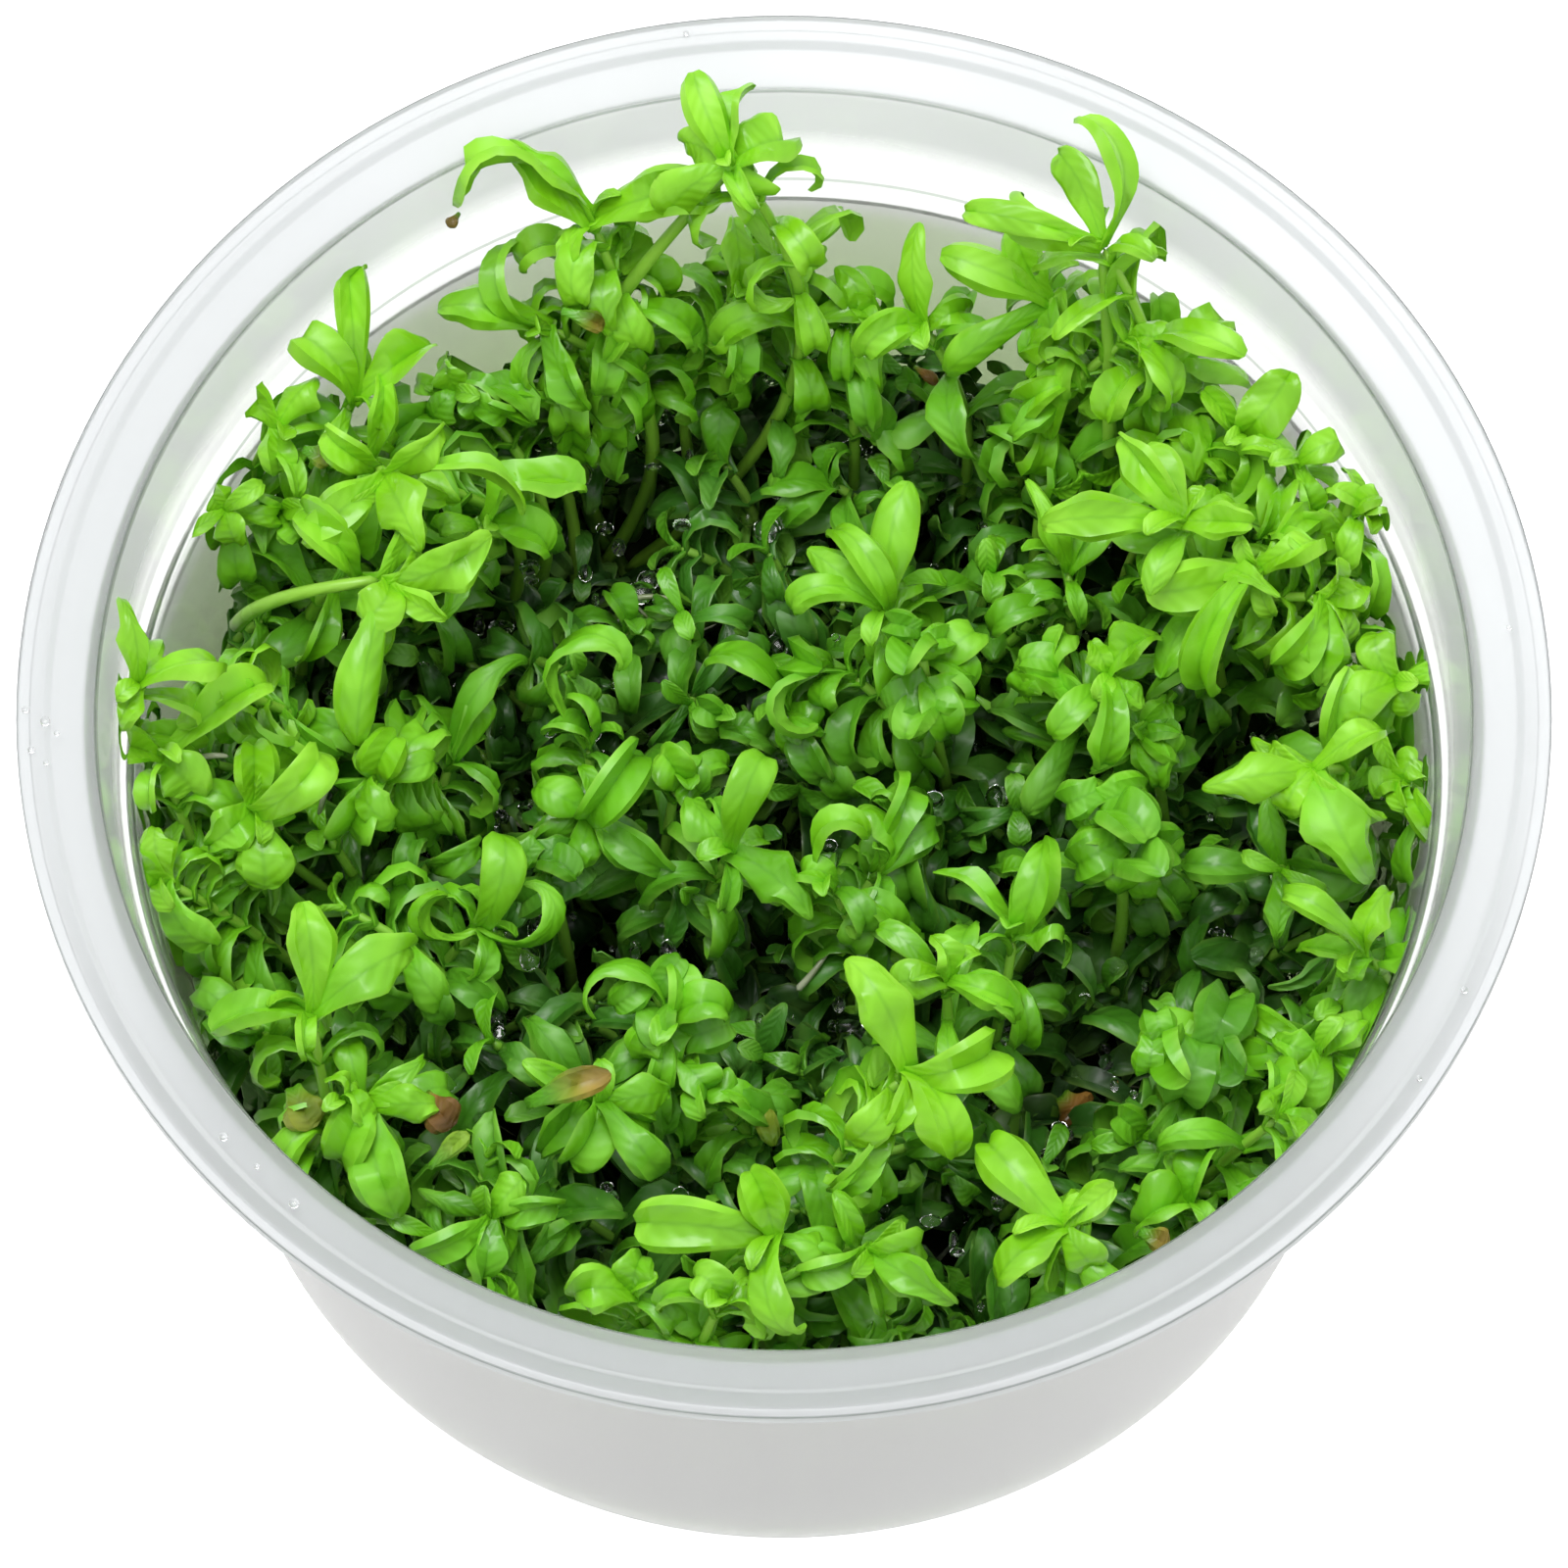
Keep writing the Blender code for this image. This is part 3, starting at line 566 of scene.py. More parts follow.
# Shoots: growing tip (picture x, picture y, height in mm), then the leaves of its crown
# (picture x and y of the leaf's end, rise above the tip in mm, width in mm, curl in percent, and where
# it matters the way its outer side faces).
shootRows = [
    # back wall, from left to right
    (283, 436, 46, (238, 384, 2, 3.6, 15), (314, 380, 2, 3.8, 20), (282, 482, -1, 3.8, 30)),
    (362, 408, 46, (377, 254, 5, 3.2, 10), (302, 333, 3, 4.6, 25), (440, 352, 1, 3.8, 40)),
    (560, 335, 43, (449, 306, 1, 4.4, 20), (596, 420, -3, 4, 20), (545, 270, 2, 3.6, 80)),
    (604, 226, 51, (467, 219, 2, 5, 50, 90), (506, 166, 3, 5, 10), (735, 192, 3, 4.6, 10),
     (690, 214, 1, 4, 20)),
    (745, 166, 58, (697, 79, 3, 3.6, 10), (772, 91, 2, 3.8, 35), (797, 140, 0, 5.6, 25),
     (700, 142, 0, 4.8, 30), (682, 212, -3, 4.6, 20), (768, 198, -3, 4.4, 30)),
    (752, 300, 43, (745, 222, 3, 3.2, 30), (795, 275, 1, 4, 50), (752, 392, -4, 3, 20)),
    (812, 262, 44, (862, 217, 2, 2, 50), (840, 265, 0, 2.6, 60), (793, 245, 1, 2.4, 60)),
    (865, 325, 41, (835, 298, 1, 4, 80), (898, 318, 0, 4, 80), (840, 352, -1, 4, 70), (870, 270, 3, 3, 50)),
    (945, 335, 43, (935, 226, 5, 3.6, 10), (882, 362, 0, 3.5, 50), (990, 320, 0, 3.2, 40)),
    (1070, 308, 46, (958, 265, 2, 4, 15), (957, 362, -3, 3.4, 20), (1100, 400, -3, 4.2, 25),
     (1030, 240, 2, 3.4, 40)),
    (1124, 250, 56, (1091, 153, 2, 3.6, 10), (1097, 126, 4, 3.6, 40, 0), (1050, 191, 0, 4.6, 45, 225),
     (988, 206, 1, 2.8, 10)),
    (1150, 346, 49, (1190, 262, 5, 3.8, 45, 120), (1188, 352, 0, 3.2, 40), (1172, 400, -2, 4, 80)),
    (1180, 385, 44, (1274, 398, 1, 4.6, 30, 60), (1205, 345, 2, 4, 40), (1160, 440, -2, 3.2, 30)),
    (1260, 448, 45, (1312, 376, 4, 4.4, 10), (1268, 505, -2, 3.5, 40), (1228, 398, 3, 2.4, 15)),
    (1325, 475, 46, (1378, 460, 1, 3.2, 40), (1275, 455, 0, 3.5, 50), (1330, 525, -2, 3.5, 30)),
    # right-hand side, from back to front
    (1383, 526, 47, (1430, 535, 0, 3.5, 50), (1412, 508, 2, 3, 40), (1360, 502, 1, 2.8, 50)),
    (1208, 532, 50, (1063, 530, 0, 4.5, 20), (1132, 458, 2, 4, 20), (1175, 452, 2, 4, 10),
     (1275, 545, 0, 3.6, 20)),
    (1285, 580, 47, (1170, 612, 0, 5, 20), (1220, 685, -3, 3.6, 60), (1340, 545, 1, 3.4, 30)),
    (1090, 580, 38, (1052, 488, 4, 3, 30), (1096, 505, 3, 3, 20), (1130, 540, 1, 3.2, 40)),
    (1130, 690, 42, (1112, 655, 2, 2.6, 20), (1168, 720, 0, 2.4, 10), (1132, 775, -2, 4, 60),
     (1175, 640, 2, 4, 30)),
    (1075, 690, 38, (1043, 672, 1, 3.8, 80), (1048, 712, 0, 4, 60), (1095, 655, 1, 3.6, 60)),
    (1350, 610, 46, (1300, 670, -1, 4.5, 50), (1345, 700, -2, 4.5, 20), (1385, 590, 1, 4, 40)),
    (1425, 695, 46, (1362, 722, 0, 4.5, 30), (1440, 728, -1, 3, 30), (1400, 650, 1, 3.5, 50)),
    (1340, 787, 46, (1225, 795, 1, 4.5, 10), (1410, 745, 2, 3.5, 30), (1312, 832, -1, 4, 50),
     (1385, 905, -3, 6.5, 30)),
    (1160, 745, 37, (1200, 770, 0, 3.6, 50), (1172, 803, -1, 4, 40), (1188, 715, 1, 3.4, 60)),
    (1150, 865, 37, (1108, 850, 1, 4.2, 90), (1130, 808, 1, 4, 90), (1192, 875, 0, 4, 80),
     (1140, 912, 0, 4, 80)),
    (1395, 975, 43, (1318, 930, 2, 2.8, 80), (1430, 920, 2, 4, 50), (1370, 1000, -1, 3, 30)),
    (1240, 1065, 38, (1162, 1060, 0, 4.5, 40), (1225, 1035, 1, 4.6, 50), (1285, 1095, 0, 4.2, 50)),
    (1348, 1075, 41, (1385, 1035, 1, 4, 30), (1325, 1118, -1, 4, 30), (1300, 1060, 0, 3.4, 30)),
    (1215, 1230, 37, (1170, 1245, 0, 4.6, 70), (1240, 1185, 1, 4, 60)),
    # middle, from back to front
    (850, 495, 31, (868, 470, 1, 3.4, 80), (785, 500, 0, 3.8, 40), (800, 540, -1, 3.4, 40)),
    (905, 625, 40, (922, 490, 4, 4.2, 10), (865, 540, 3, 3.2, 90), (822, 562, 3, 3.4, 20),
     (812, 625, 1, 3, 80)),
    (945, 685, 38, (985, 650, 1, 3.8, 80), (985, 705, 0, 4, 80), (955, 748, -1, 3.8, 80)),
    (805, 722, 34, (722, 680, 2, 4, 60), (850, 690, 1, 3.6, 80), (835, 740, 0, 3.4, 60)),
    (600, 830, 36, (642, 768, 3, 4.2, 70), (548, 800, 1, 3.8, 50), (582, 880, -1, 3.2, 80),
     (660, 905, -2, 4, 50)),
    (745, 870, 37, (765, 775, 4, 3.8, 80), (838, 925, 0, 5, 20), (695, 830, 1, 3.6, 40)),
    (895, 890, 35, (872, 835, 3, 3.5, 80), (935, 815, 1, 3.6, 50), (960, 860, 0, 3.2, 40)),
    (1035, 955, 37, (950, 893, 1, 3.6, 10), (1078, 955, 0, 4, 40), (1055, 855, 3, 4.2, 30)),
    (680, 1050, 38, (655, 1075, 0, 4, 80), (690, 990, 2, 3.6, 70), (738, 1035, 1, 3.6, 70),
     (610, 1030, 1, 3, 90)),
    # left-hand side, from back to front
    (392, 486, 48, (438, 558, 1, 5.4, 15), (302, 533, 0, 4.4, 20), (527, 534, -1, 3.6, 25, 60),
     (450, 436, 2, 4, 40)),
    (395, 597, 47, (372, 634, 0, 4.4, 50), (508, 566, 1, 5, 10), (345, 755, -3, 4, 20),
     (458, 627, 0, 3, 15)),
    (140, 700, 52, (128, 612, 3, 2.8, 50), (222, 690, 0, 4.5, 60), (122, 745, -1, 3, 30)),
    (165, 775, 46, (112, 762, 1, 3.5, 30), (200, 800, -1, 5, 40), (280, 706, 0, 4, 20)),
    (460, 775, 33, (430, 728, 1, 4.2, 70), (548, 690, 3, 3, 40), (480, 700, 1, 3.4, 50)),
    (258, 825, 44, (250, 762, 2, 4, 20), (325, 770, 2, 4, 80), (272, 906, -2, 5, 20),
     (212, 862, -1, 4.5, 30)),
    (490, 945, 37, (528, 858, 4, 4, 60, 60), (455, 913, 2, 2.6, 95, 200, 0.3),
     (534, 903, 2, 2.6, 90, -25, 0.3)),
    (318, 1035, 43, (308, 920, 4, 4.5, 10), (430, 990, 0, 5.2, 30), (215, 1050, 0, 4, 20)),
    (370, 1125, 41, (345, 1180, -1, 4.2, 50), (397, 1245, -2, 5, 10), (440, 1110, 0, 3.6, 50)),
    # front wall, from left to right
    (500, 1240, 38, (537, 1208, 2, 3.6, 30), (512, 1310, -2, 4, 20), (420, 1270, 0, 3.6, 30)),
    (612, 1125, 39, (585, 1185, -1, 4, 40), (650, 1210, -2, 3.8, 50), (680, 1105, 0, 4, 30)),
    (645, 1320, 42, (590, 1330, 0, 4.4, 70), (660, 1285, 1, 4, 50)),
    (790, 1262, 44, (652, 1235, 1, 5, 10), (765, 1195, 2, 4.2, 30), (800, 1352, -2, 4, 80)),
    (885, 1275, 42, (930, 1255, 1, 4, 70), (820, 1300, 0, 3.6, 30), (960, 1345, -1, 4, 30)),
    (925, 1095, 47, (870, 975, 4, 5, 30), (1003, 1060, 0, 5, 50), (960, 1185, -1, 5, 40)),
    (965, 1000, 42, (950, 955, 2, 4, 50), (915, 1010, 0, 3.6, 50), (1030, 1035, 0, 3.6, 30)),
    (1085, 1252, 46, (1140, 1215, 2, 3, 10), (1000, 1175, 0, 5, 20), (1022, 1312, -1, 4.5, 20),
     (1118, 1290, -1, 4, 40)),
]

growth = {
    "seed": 11,
    "pairGap": 5.0 * mm,      # height of a shoot for each leaf pair below its crown
    # the leaves' painted shade runs from darkest at the lower of these heights to none at the upper
    "bright": 48.0,           # height in mm at which leaves are brightest
    "dark": 16.0,
    "youngest": 0.8,          # size of the first pair below the crown, against the others
}
# how the leaves of a stem grow: sizes in mm, angles in degrees; a leaf leans out from the
# stem and then bends back, evenly along its length at an ease of 1 and mostly near its tip above that
habits = {
    "shell": {"spacing": (1.5, 2.1), "length": (7.0, 8.6), "width": (2.4, 3.1), "lean": (25, 45),
              "bend": (200, 270), "ease": (0.9, 1.3), "turn": 0.3},
    "open": {"spacing": (3.0, 4.4), "length": (6.8, 9.0), "width": (2.2, 3.2), "lean": (30, 58),
             "bend": (70, 170), "ease": (1.2, 2.4), "turn": 1.57},
    "hook": {"spacing": (2.6, 3.6), "length": (7.4, 9.8), "width": (1.9, 2.8), "lean": (22, 45),
             "bend": (190, 290), "ease": (1.1, 2.0), "turn": 1.57},
}
rng = random.Random(growth["seed"])


# how bright the leaves at a height are, from 0 to 1: painted shade deep in the foliage, together with the
# darker green of older leaves
def ageAndShadeAt(height):
    share = (height / mm - growth["dark"]) / (growth["bright"] - growth["dark"])
    return min(1.0, max(0.0, share))


# the small differences between one leaf and the next
def leafVariety():
    return {"twist": rng.gauss(0, 0.45), "puff": rng.uniform(0.35, 0.85), "droop": rng.gauss(0.35, 0.35),
            "wave": rng.gauss(0, 0.25), "sweep": rng.gauss(0, 0.1), "stalk": rng.uniform(0.3, 0.5),
            "belly": rng.uniform(0.5, 0.72), "blunt": rng.choice([1.5, 2.0, 2.6]),
            "pinch": rng.choice([0, 0, 0, 0.3, 0.45])}


# a direction that leans from upright by an angle in degrees, towards a compass angle
def leaning(degrees, towards):
    tilt = math.radians(degrees)
    return Vector((math.sin(tilt) * math.cos(towards), math.sin(tilt) * math.sin(towards), math.cos(tilt)))


# the direction straight out from a stem at an angle round it
def outFrom(heading, around):
    flat = heading.orthogonal().normalized()
    return flat * math.cos(around) + heading.cross(flat) * math.sin(around)


# leaves of one node of the stem, opposite one another
def growPair(foliage, spot, heading, turn, habit, scale, tone, template):
    for leaf in range(2):
        outward = outFrom(heading, turn + leaf * math.pi + rng.uniform(-0.3, 0.3))
        lean = math.radians(rng.uniform(*habit["lean"]))
        ahead = heading * math.cos(lean) + outward * math.sin(lean)
        face = heading * math.sin(lean) - outward * math.cos(lean)
        grown = growLeaf(spot, ahead, face, rng.uniform(*habit["length"]) * scale * mm,
                         rng.uniform(*habit["width"]) * scale * mm, math.radians(rng.uniform(*habit["bend"])),
                         ease=rng.uniform(*habit["ease"]), template=template, **leafVariety())
        foliage.add(grown, tone + rng.uniform(-0.12, 0.12))


# leaf pairs down the stem from its tip, the youngest the smallest
def growBelow(foliage, midline, habit, pairs, youngest, template, shadeDrop=0.0):
    turn = rng.uniform(0, math.tau)
    along = 1.0
    spot = midline(1.0)
    toGo = 0.4 * rng.uniform(*habit["spacing"]) * mm
    grown = 0
    while grown < pairs and along > 0.12:
        along -= 0.01
        lower = midline(along)
        toGo -= (lower - spot).length
        spot = lower
        if toGo > 0:
            continue
        scale = min(1.0, youngest + 0.22 * grown)
        toGo = rng.uniform(*habit["spacing"]) * scale * mm
        heading = (midline(along + 0.01) - spot).normalized()
        turn += habit["turn"] + rng.uniform(-0.3, 0.3)
        # the lower shoots' leaves take extra painted shade
        growPair(foliage, spot, heading, turn, habit, scale, ageAndShadeAt(spot.z) - shadeDrop, template)
        grown += 1


def addStem(foliage, spots, tone, stalk, taper=stemForm["taper"]):
    midline = arcOver(*spots)
    foliage.add(drawnAlong(stemBody, midline, stemForm["radius"], taper), tone, stalk=stalk)
    return midline


# a stem that rises from its root and bends over to its growing tip
def growStem(foliage, root, tip, heading, stalk):
    bend = tip - heading * 0.5 * (tip - root).length
    bend.z = max(bend.z, root.z + 2 * mm)
    return addStem(foliage, (root, bend, tip), ageAndShadeAt(tip.z), stalk)


# the middle of the lowest face of a shoot's solid, where the stem meets the gel
def rootOf(node):
    spots = [vertex.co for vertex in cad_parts[node].data.vertices]
    low = min(spot.z for spot in spots)
    foot = [spot for spot in spots if spot.z < low + 0.05 * mm]
    middle = Vector((0, 0, 0))
    for spot in foot:
        middle += spot / len(foot)
    return middle


# the direction that a leaf's outer side faces: an angle in the picture (0 right, 90 up) and a
# share to the eye
def facing(degrees, toEye=0.8):
    turn = math.radians(degrees)
    return Vector((math.cos(turn), 0, 0)) + upward * math.sin(turn) + eyeward * toEye


def growCrown(foliage, tip, heading, height, marks):
    for across, down, rise, width, percent, *angle in marks:
        curl = percent / 100
        end = place(across, down, height + rise)
        face = heading * (0.4 + curl) + eyeward * (1 - curl)
        face += 0.2 * Vector((rng.gauss(0, 1), rng.gauss(0, 1), rng.gauss(0, 1)))
        if angle:
            face = facing(*angle)
        bend = math.radians(60 + 190 * curl) * rng.uniform(0.85, 1.15)
        grown = leafBetween(tip, end, face, 0.8 * width * mm, bend, rng.uniform(1.0, 2.4),
                            template=crownLeaf, **leafVariety())
        foliage.add(grown, ageAndShadeAt(end.z) + rng.uniform(-0.05, 0.1))


# the youngest leaves, still folded over the growing tip
def growBud(foliage, tip, heading):
    turn = rng.uniform(0, math.tau)
    for leaf in range(2):
        outward = outFrom(heading, turn + leaf * math.pi)
        grown = growLeaf(tip, heading + outward * 0.45, heading * 0.3 - outward, rng.uniform(2.8, 4.4) * mm,
                         rng.uniform(1.2, 1.8) * mm, rng.uniform(1.0, 2.6), droop=-0.3, template=coarseLeaf)
        foliage.add(grown, ageAndShadeAt(tip.z) + 0.08)


# a whole shoot: its stem, its marked crown, the bud and the leaves below
def growShoot(foliage, root, tip, height, leafMarks):
    ends = [place(mark[0], mark[1], height) for mark in leafMarks]
    towards = sum(ends, Vector((0, 0, 0))) / len(ends) - tip
    heading = leaning(rng.uniform(15, 55), math.atan2(towards.y, towards.x) + rng.gauss(0, 0.7))
    midline = growStem(foliage, root, tip, heading, 0.55)
    growCrown(foliage, tip, heading, height, leafMarks)
    growBud(foliage, tip, heading)
    curled = sum(mark[4] / 100 for mark in leafMarks) / len(leafMarks)
    name = "shell" if curled > 0.55 or rng.random() < 0.3 else rng.choice(["open", "hook"])
    pairs = round((tip.z - gelSizes["height"]) / growth["pairGap"])
    growBelow(foliage, midline, habits[name], pairs, growth["youngest"], fineLeaf)


mainTips = []


def growMainShoots():
    for number, (across, down, height, *leafMarks) in enumerate(shootRows, start=1):
        node = f"shoot_{number:02d}"
        tip = place(across, down, height)
        foliage = Foliage()
        growShoot(foliage, rootOf(node), tip, height, leafMarks)
        foliage.finish(f"shoot{number:02d}Leaves", [node])
        mainTips.append(tip)


growMainShoots()
print("main shoots grown")


# Shoots between the main ones, in the same terms
betweenRows = [
    (590, 290, 44, (538, 275, 2, 4.2, 70), (575, 250, 3, 4, 70), (625, 265, 2, 3.6, 60)),
    (470, 400, 40, (455, 370, 1, 3.4, 40), (500, 415, 0, 3.4, 50), (440, 425, -1, 3.4, 60)),
    (640, 285, 44, (655, 255, 2, 3.2, 60), (668, 300, 0, 3.4, 60)),
    (1095, 345, 44, (1055, 390, 0, 3.6, 40), (1082, 405, -1, 3.8, 60), (1060, 445, -3, 2.8, 20)),
    (1225, 470, 43, (1215, 440, 1, 3.2, 50), (1250, 480, 0, 3.2, 60)),
    (1375, 550, 44, (1310, 530, 1, 4.2, 30), (1390, 575, -1, 3.4, 60)),
    (1435, 800, 44, (1446, 775, 1, 3.6, 50), (1440, 830, -1, 3.6, 60), (1400, 810, 0, 3.4, 40)),
    (870, 690, 36, (840, 680, 2, 4, 90), (850, 720, 0, 3.8, 90), (830, 735, -1, 3.6, 80)),
    (740, 735, 32, (715, 720, 1, 3.4, 60), (760, 750, 0, 3.4, 70)),
    (690, 800, 35, (672, 770, 2, 3.8, 50), (705, 770, 1, 3.8, 60), (715, 810, 0, 4.2, 30)),
    (850, 905, 37, (885, 860, 3, 3.2, 90), (820, 890, 1, 3.2, 60)),
    (915, 835, 34, (900, 810, 1, 3.4, 70), (935, 850, 0, 3.4, 70)),
    (600, 760, 35, (555, 745, 1, 4, 60), (580, 710, 3, 3.6, 60), (625, 690, 4, 3, 90)),
    (290, 520, 42, (262, 500, 1, 3.6, 50), (310, 545, 0, 3.4, 50)),
    (230, 520, 44, (215, 495, 1, 3.4, 40), (245, 548, -1, 3.6, 60)),
    (225, 705, 46, (200, 690, 1, 3.2, 60), (250, 720, 0, 3.4, 60)),
    (385, 795, 41, (400, 750, 2, 4, 60), (405, 820, 0, 3.4, 100), (360, 850, -2, 4, 30)),
    (170, 900, 43, (155, 845, 2, 4.2, 20), (205, 965, -3, 4.2, 40), (130, 870, 1, 3.6, 50)),
    (345, 1130, 42, (330, 1105, 1, 3.4, 90), (365, 1150, 0, 3.6, 80)),
    (720, 1110, 36, (700, 1085, 1, 3.6, 70), (745, 1120, 0, 3.6, 70)),
    (735, 1330, 43, (715, 1300, 1, 3.6, 50), (760, 1345, -1, 3.6, 60)),
    (1215, 1120, 36, (1195, 1095, 1, 3.6, 60), (1240, 1140, 0, 3.6, 60)),
    (1305, 1140, 42, (1290, 1115, 1, 4, 40), (1330, 1160, -1, 3.6, 50)),
    (1165, 1160, 34, (1140, 1140, 1, 3.6, 60), (1185, 1185, -1, 3.6, 60)),
    (735, 470, 30, (740, 405, 3, 3.6, 20), (715, 500, -1, 3.2, 50)),
    (640, 640, 30, (620, 610, 1, 3.2, 60), (665, 655, 0, 3.2, 50)),
    (1065, 805, 29, (1045, 790, 0, 3.2, 80), (1085, 795, 0, 3.2, 80), (1060, 830, 0, 3.2, 80)),
    (1010, 590, 34, (1000, 550, 3, 2.2, 10), (1035, 605, 0, 3.2, 50)),
    (495, 536, 41, (588, 494, 1, 5.4, 30, 90), (560, 552, -1, 4.4, 30)),
]
# bare lengths of stem that show between the leaves: start, middle and end
stemRows = [
    ((240, 640, 37), (258, 606, 47), (388, 592, 47)), ((626, 314, 44), (660, 262, 49), (745, 172, 57)),
    ((1132, 470, 39), (1133, 370, 47), (1126, 256, 55)),
]


# where a shoot without a solid of its own comes out of the gel
def rootBelow(tip):
    root = Vector((tip.x, tip.y, 0)) * rng.uniform(0.82, 0.92)
    root += Vector((rng.uniform(-4, 4), rng.uniform(-4, 4), 0)) * mm
    root.z = gelTop
    return root


# shoots seen from the side, with plump short leaves in close pairs: the first and the last pair
# (picture x, picture y, height in mm), the number of pairs, leaf length and width in mm
shellRows = [
    ((1122, 812, 41), (1158, 896, 38), 4, 4.8, 3.9), ((938, 648, 42), (952, 738, 38), 4, 4.3, 3.4),
    ((1180, 1062, 42), (1262, 1070, 39), 4, 4.6, 4.0), ((1164, 738, 38), (1184, 780, 35), 3, 3.6, 2.7),
    ((664, 1006, 40), (700, 1064, 37), 3, 4.2, 3.2), ((548, 862, 37), (568, 912, 34), 3, 3.8, 2.9),
]


# every second pair stands crosswise, and only its front leaf shows
def growShells(foliage):
    for start, end, pairs, length, width in shellRows:
        first = place(*start)
        last = place(*end)
        heading = (first - last).normalized()
        across = heading.cross(eyeward).normalized()
        for number in range(pairs):
            size = rng.uniform(0.85, 1.1) * (0.75 if number == 0 else 1.0)
            for hand in (-1, 1) if number % 2 == 0 else (0,):
                along = (number + 0.22 * hand + rng.uniform(-0.12, 0.12)) / (pairs - 0.6)
                spot = first.lerp(last, along)
                if hand:
                    outward = across * hand + heading * rng.uniform(-0.5, 0.45)
                    ahead = eyeward * rng.uniform(0.5, 0.9) + outward * 0.8
                    face = eyeward - outward * 0.7
                else:
                    ahead = eyeward * 0.8 + heading * 0.6 + across * rng.uniform(-0.5, 0.5)
                    face = heading + eyeward * 0.3
                grown = growLeaf(spot, ahead, face, length * size * mm, width * size * mm,
                                 math.radians(rng.uniform(90, 170)), ease=rng.uniform(1.0, 1.5),
                                 puff=rng.uniform(0.6, 0.9), droop=rng.uniform(0.3, 0.6),
                                 twist=rng.gauss(0, 0.25), stalk=0.65, belly=0.45, blunt=2.6,
                                 template=crownLeaf)
                foliage.add(grown, ageAndShadeAt(spot.z) - rng.uniform(0.08, 0.3))
        addStem(foliage, (rootBelow(last), last - heading * 3 * mm, first), ageAndShadeAt(last.z), 0.55)


def growBetween():
    foliage = Foliage()
    for across, down, height, *leafMarks in betweenRows:
        tip = place(across, down, height)
        growShoot(foliage, rootBelow(tip), tip, height, leafMarks)
        mainTips.append(tip)
    growShells(foliage)
    for marks in stemRows:
        addStem(foliage, [place(*mark) for mark in marks], 0.9, 0.6, taper=0.8)
    foliage.finish("shootsBetween")


growBetween()
print("shoots between them grown")


# The lower shoots that fill the space between, scattered over the gel
undergrowth = {
    "seed": 5,
    "gap": 5.1 * mm,          # least distance between two of them
    "tries": 9000,
    "reach": 40.5 * mm,
    "depths": (2.0, 14.0),    # how far below the crowns they end
    "pairs": 6,
    "lowGap": 5.7 * mm,       # the same for the short ones near the gel
    "lowHeights": (17.0, 29.0),
    "lowPairs": 3,
    "wallShoots": 74,         # a row of them along the wall
    "wallReach": (37.5, 40.6),
    "wallHeights": (18.0, 37.0),
    "wallPairs": 4,
    "bare": 0.5,              # how deep in a hollow most of them are left out
    "patch": 3.0 * mm,        # the size of the groups that stay there
    "youngest": 0.75,
    # painted shade on the lower shoots' leaves
    "shadeDrop": 0.08,              # how much darker their leaves are
    "batch": 60,              # shoots joined in one mesh
    "habits": ["shell"] * 9 + ["open"] * 7 + ["hook"] * 4,
}
# hollows in the foliage: picture x, picture y and height in mm of the bottom, radius and drop in mm
hollows = [(770, 470, 22, 11.0, 17.0), (1000, 430, 26, 6.0, 10.0), (1050, 1100, 26, 6.5, 14.0),
           (475, 825, 26, 6.0, 12.0), (1000, 715, 26, 5.0, 10.0), (1000, 905, 28, 4.0, 8.0),
           (560, 620, 26, 6.0, 9.0), (760, 1000, 28, 4.0, 7.0), (1190, 985, 28, 5.5, 10.0),
           (640, 500, 22, 9.0, 14.0), (960, 775, 26, 5.0, 11.0), (445, 670, 28, 4.0, 9.0),
           (615, 935, 28, 4.5, 9.0), (530, 1140, 28, 4.0, 8.0), (990, 560, 26, 6.0, 10.0)]


# how far the foliage drops at a place, and how deep in a hollow the place is, from 0 to 1
def hollowAt(spot):
    drop = 0.0
    inside = 0.0
    for across, down, height, radius, depth in hollows:
        near = (place(across, down, height).xy - spot.xy).length / (radius * mm)
        drop = max(drop, depth * mm * math.exp(-near ** 4))
        inside = max(inside, math.exp(-near ** 4))
    return drop, inside


# the height of the marked crowns round a place, the nearest counting most, less the hollows
def canopyHeight(spot):
    total = 0.0
    weight = 0.0
    for tip in mainTips:
        nearness = 1 / ((tip.xy - spot.xy).length_squared + (4 * mm) ** 2)
        total += tip.z * nearness
        weight += nearness
    return max(total / weight - hollowAt(spot)[0], gelSizes["height"] + 4 * mm)


def onCircle(radius, turn):
    return Vector((radius * math.cos(turn), radius * math.sin(turn), 0))


# a spot picked evenly over a disc
def onDisc(reach):
    turn = rng.uniform(0, math.tau)
    return onCircle(reach * math.sqrt(rng.random()), turn)


def scatterTips(gap, heightAt):
    tips = []
    for attempt in range(undergrowth["tries"]):
        spot = onDisc(undergrowth["reach"])
        crowded = any((spot.xy - other.xy).length < gap for other in tips)
        stays = noise.noise(spot / undergrowth["patch"]) > 0.15
        if not crowded and (stays or hollowAt(spot)[1] < undergrowth["bare"]):
            spot.z = max(heightAt(spot), gelSizes["height"] + 3 * mm)
            tips.append(spot)
    return tips


def alongWall():
    s = undergrowth
    tips = []
    for step in range(s["wallShoots"]):
        turn = (step + rng.uniform(-0.3, 0.3)) * math.tau / s["wallShoots"]
        tips.append(onCircle(rng.uniform(*s["wallReach"]) * mm, turn))
        tips[-1].z = rng.uniform(*s["wallHeights"]) * mm
    return tips


def tallAt(spot):
    return canopyHeight(spot) - rng.uniform(*undergrowth["depths"]) * mm


def lowAt(spot):
    return min(canopyHeight(spot) - 6 * mm, rng.uniform(*undergrowth["lowHeights"]) * mm)


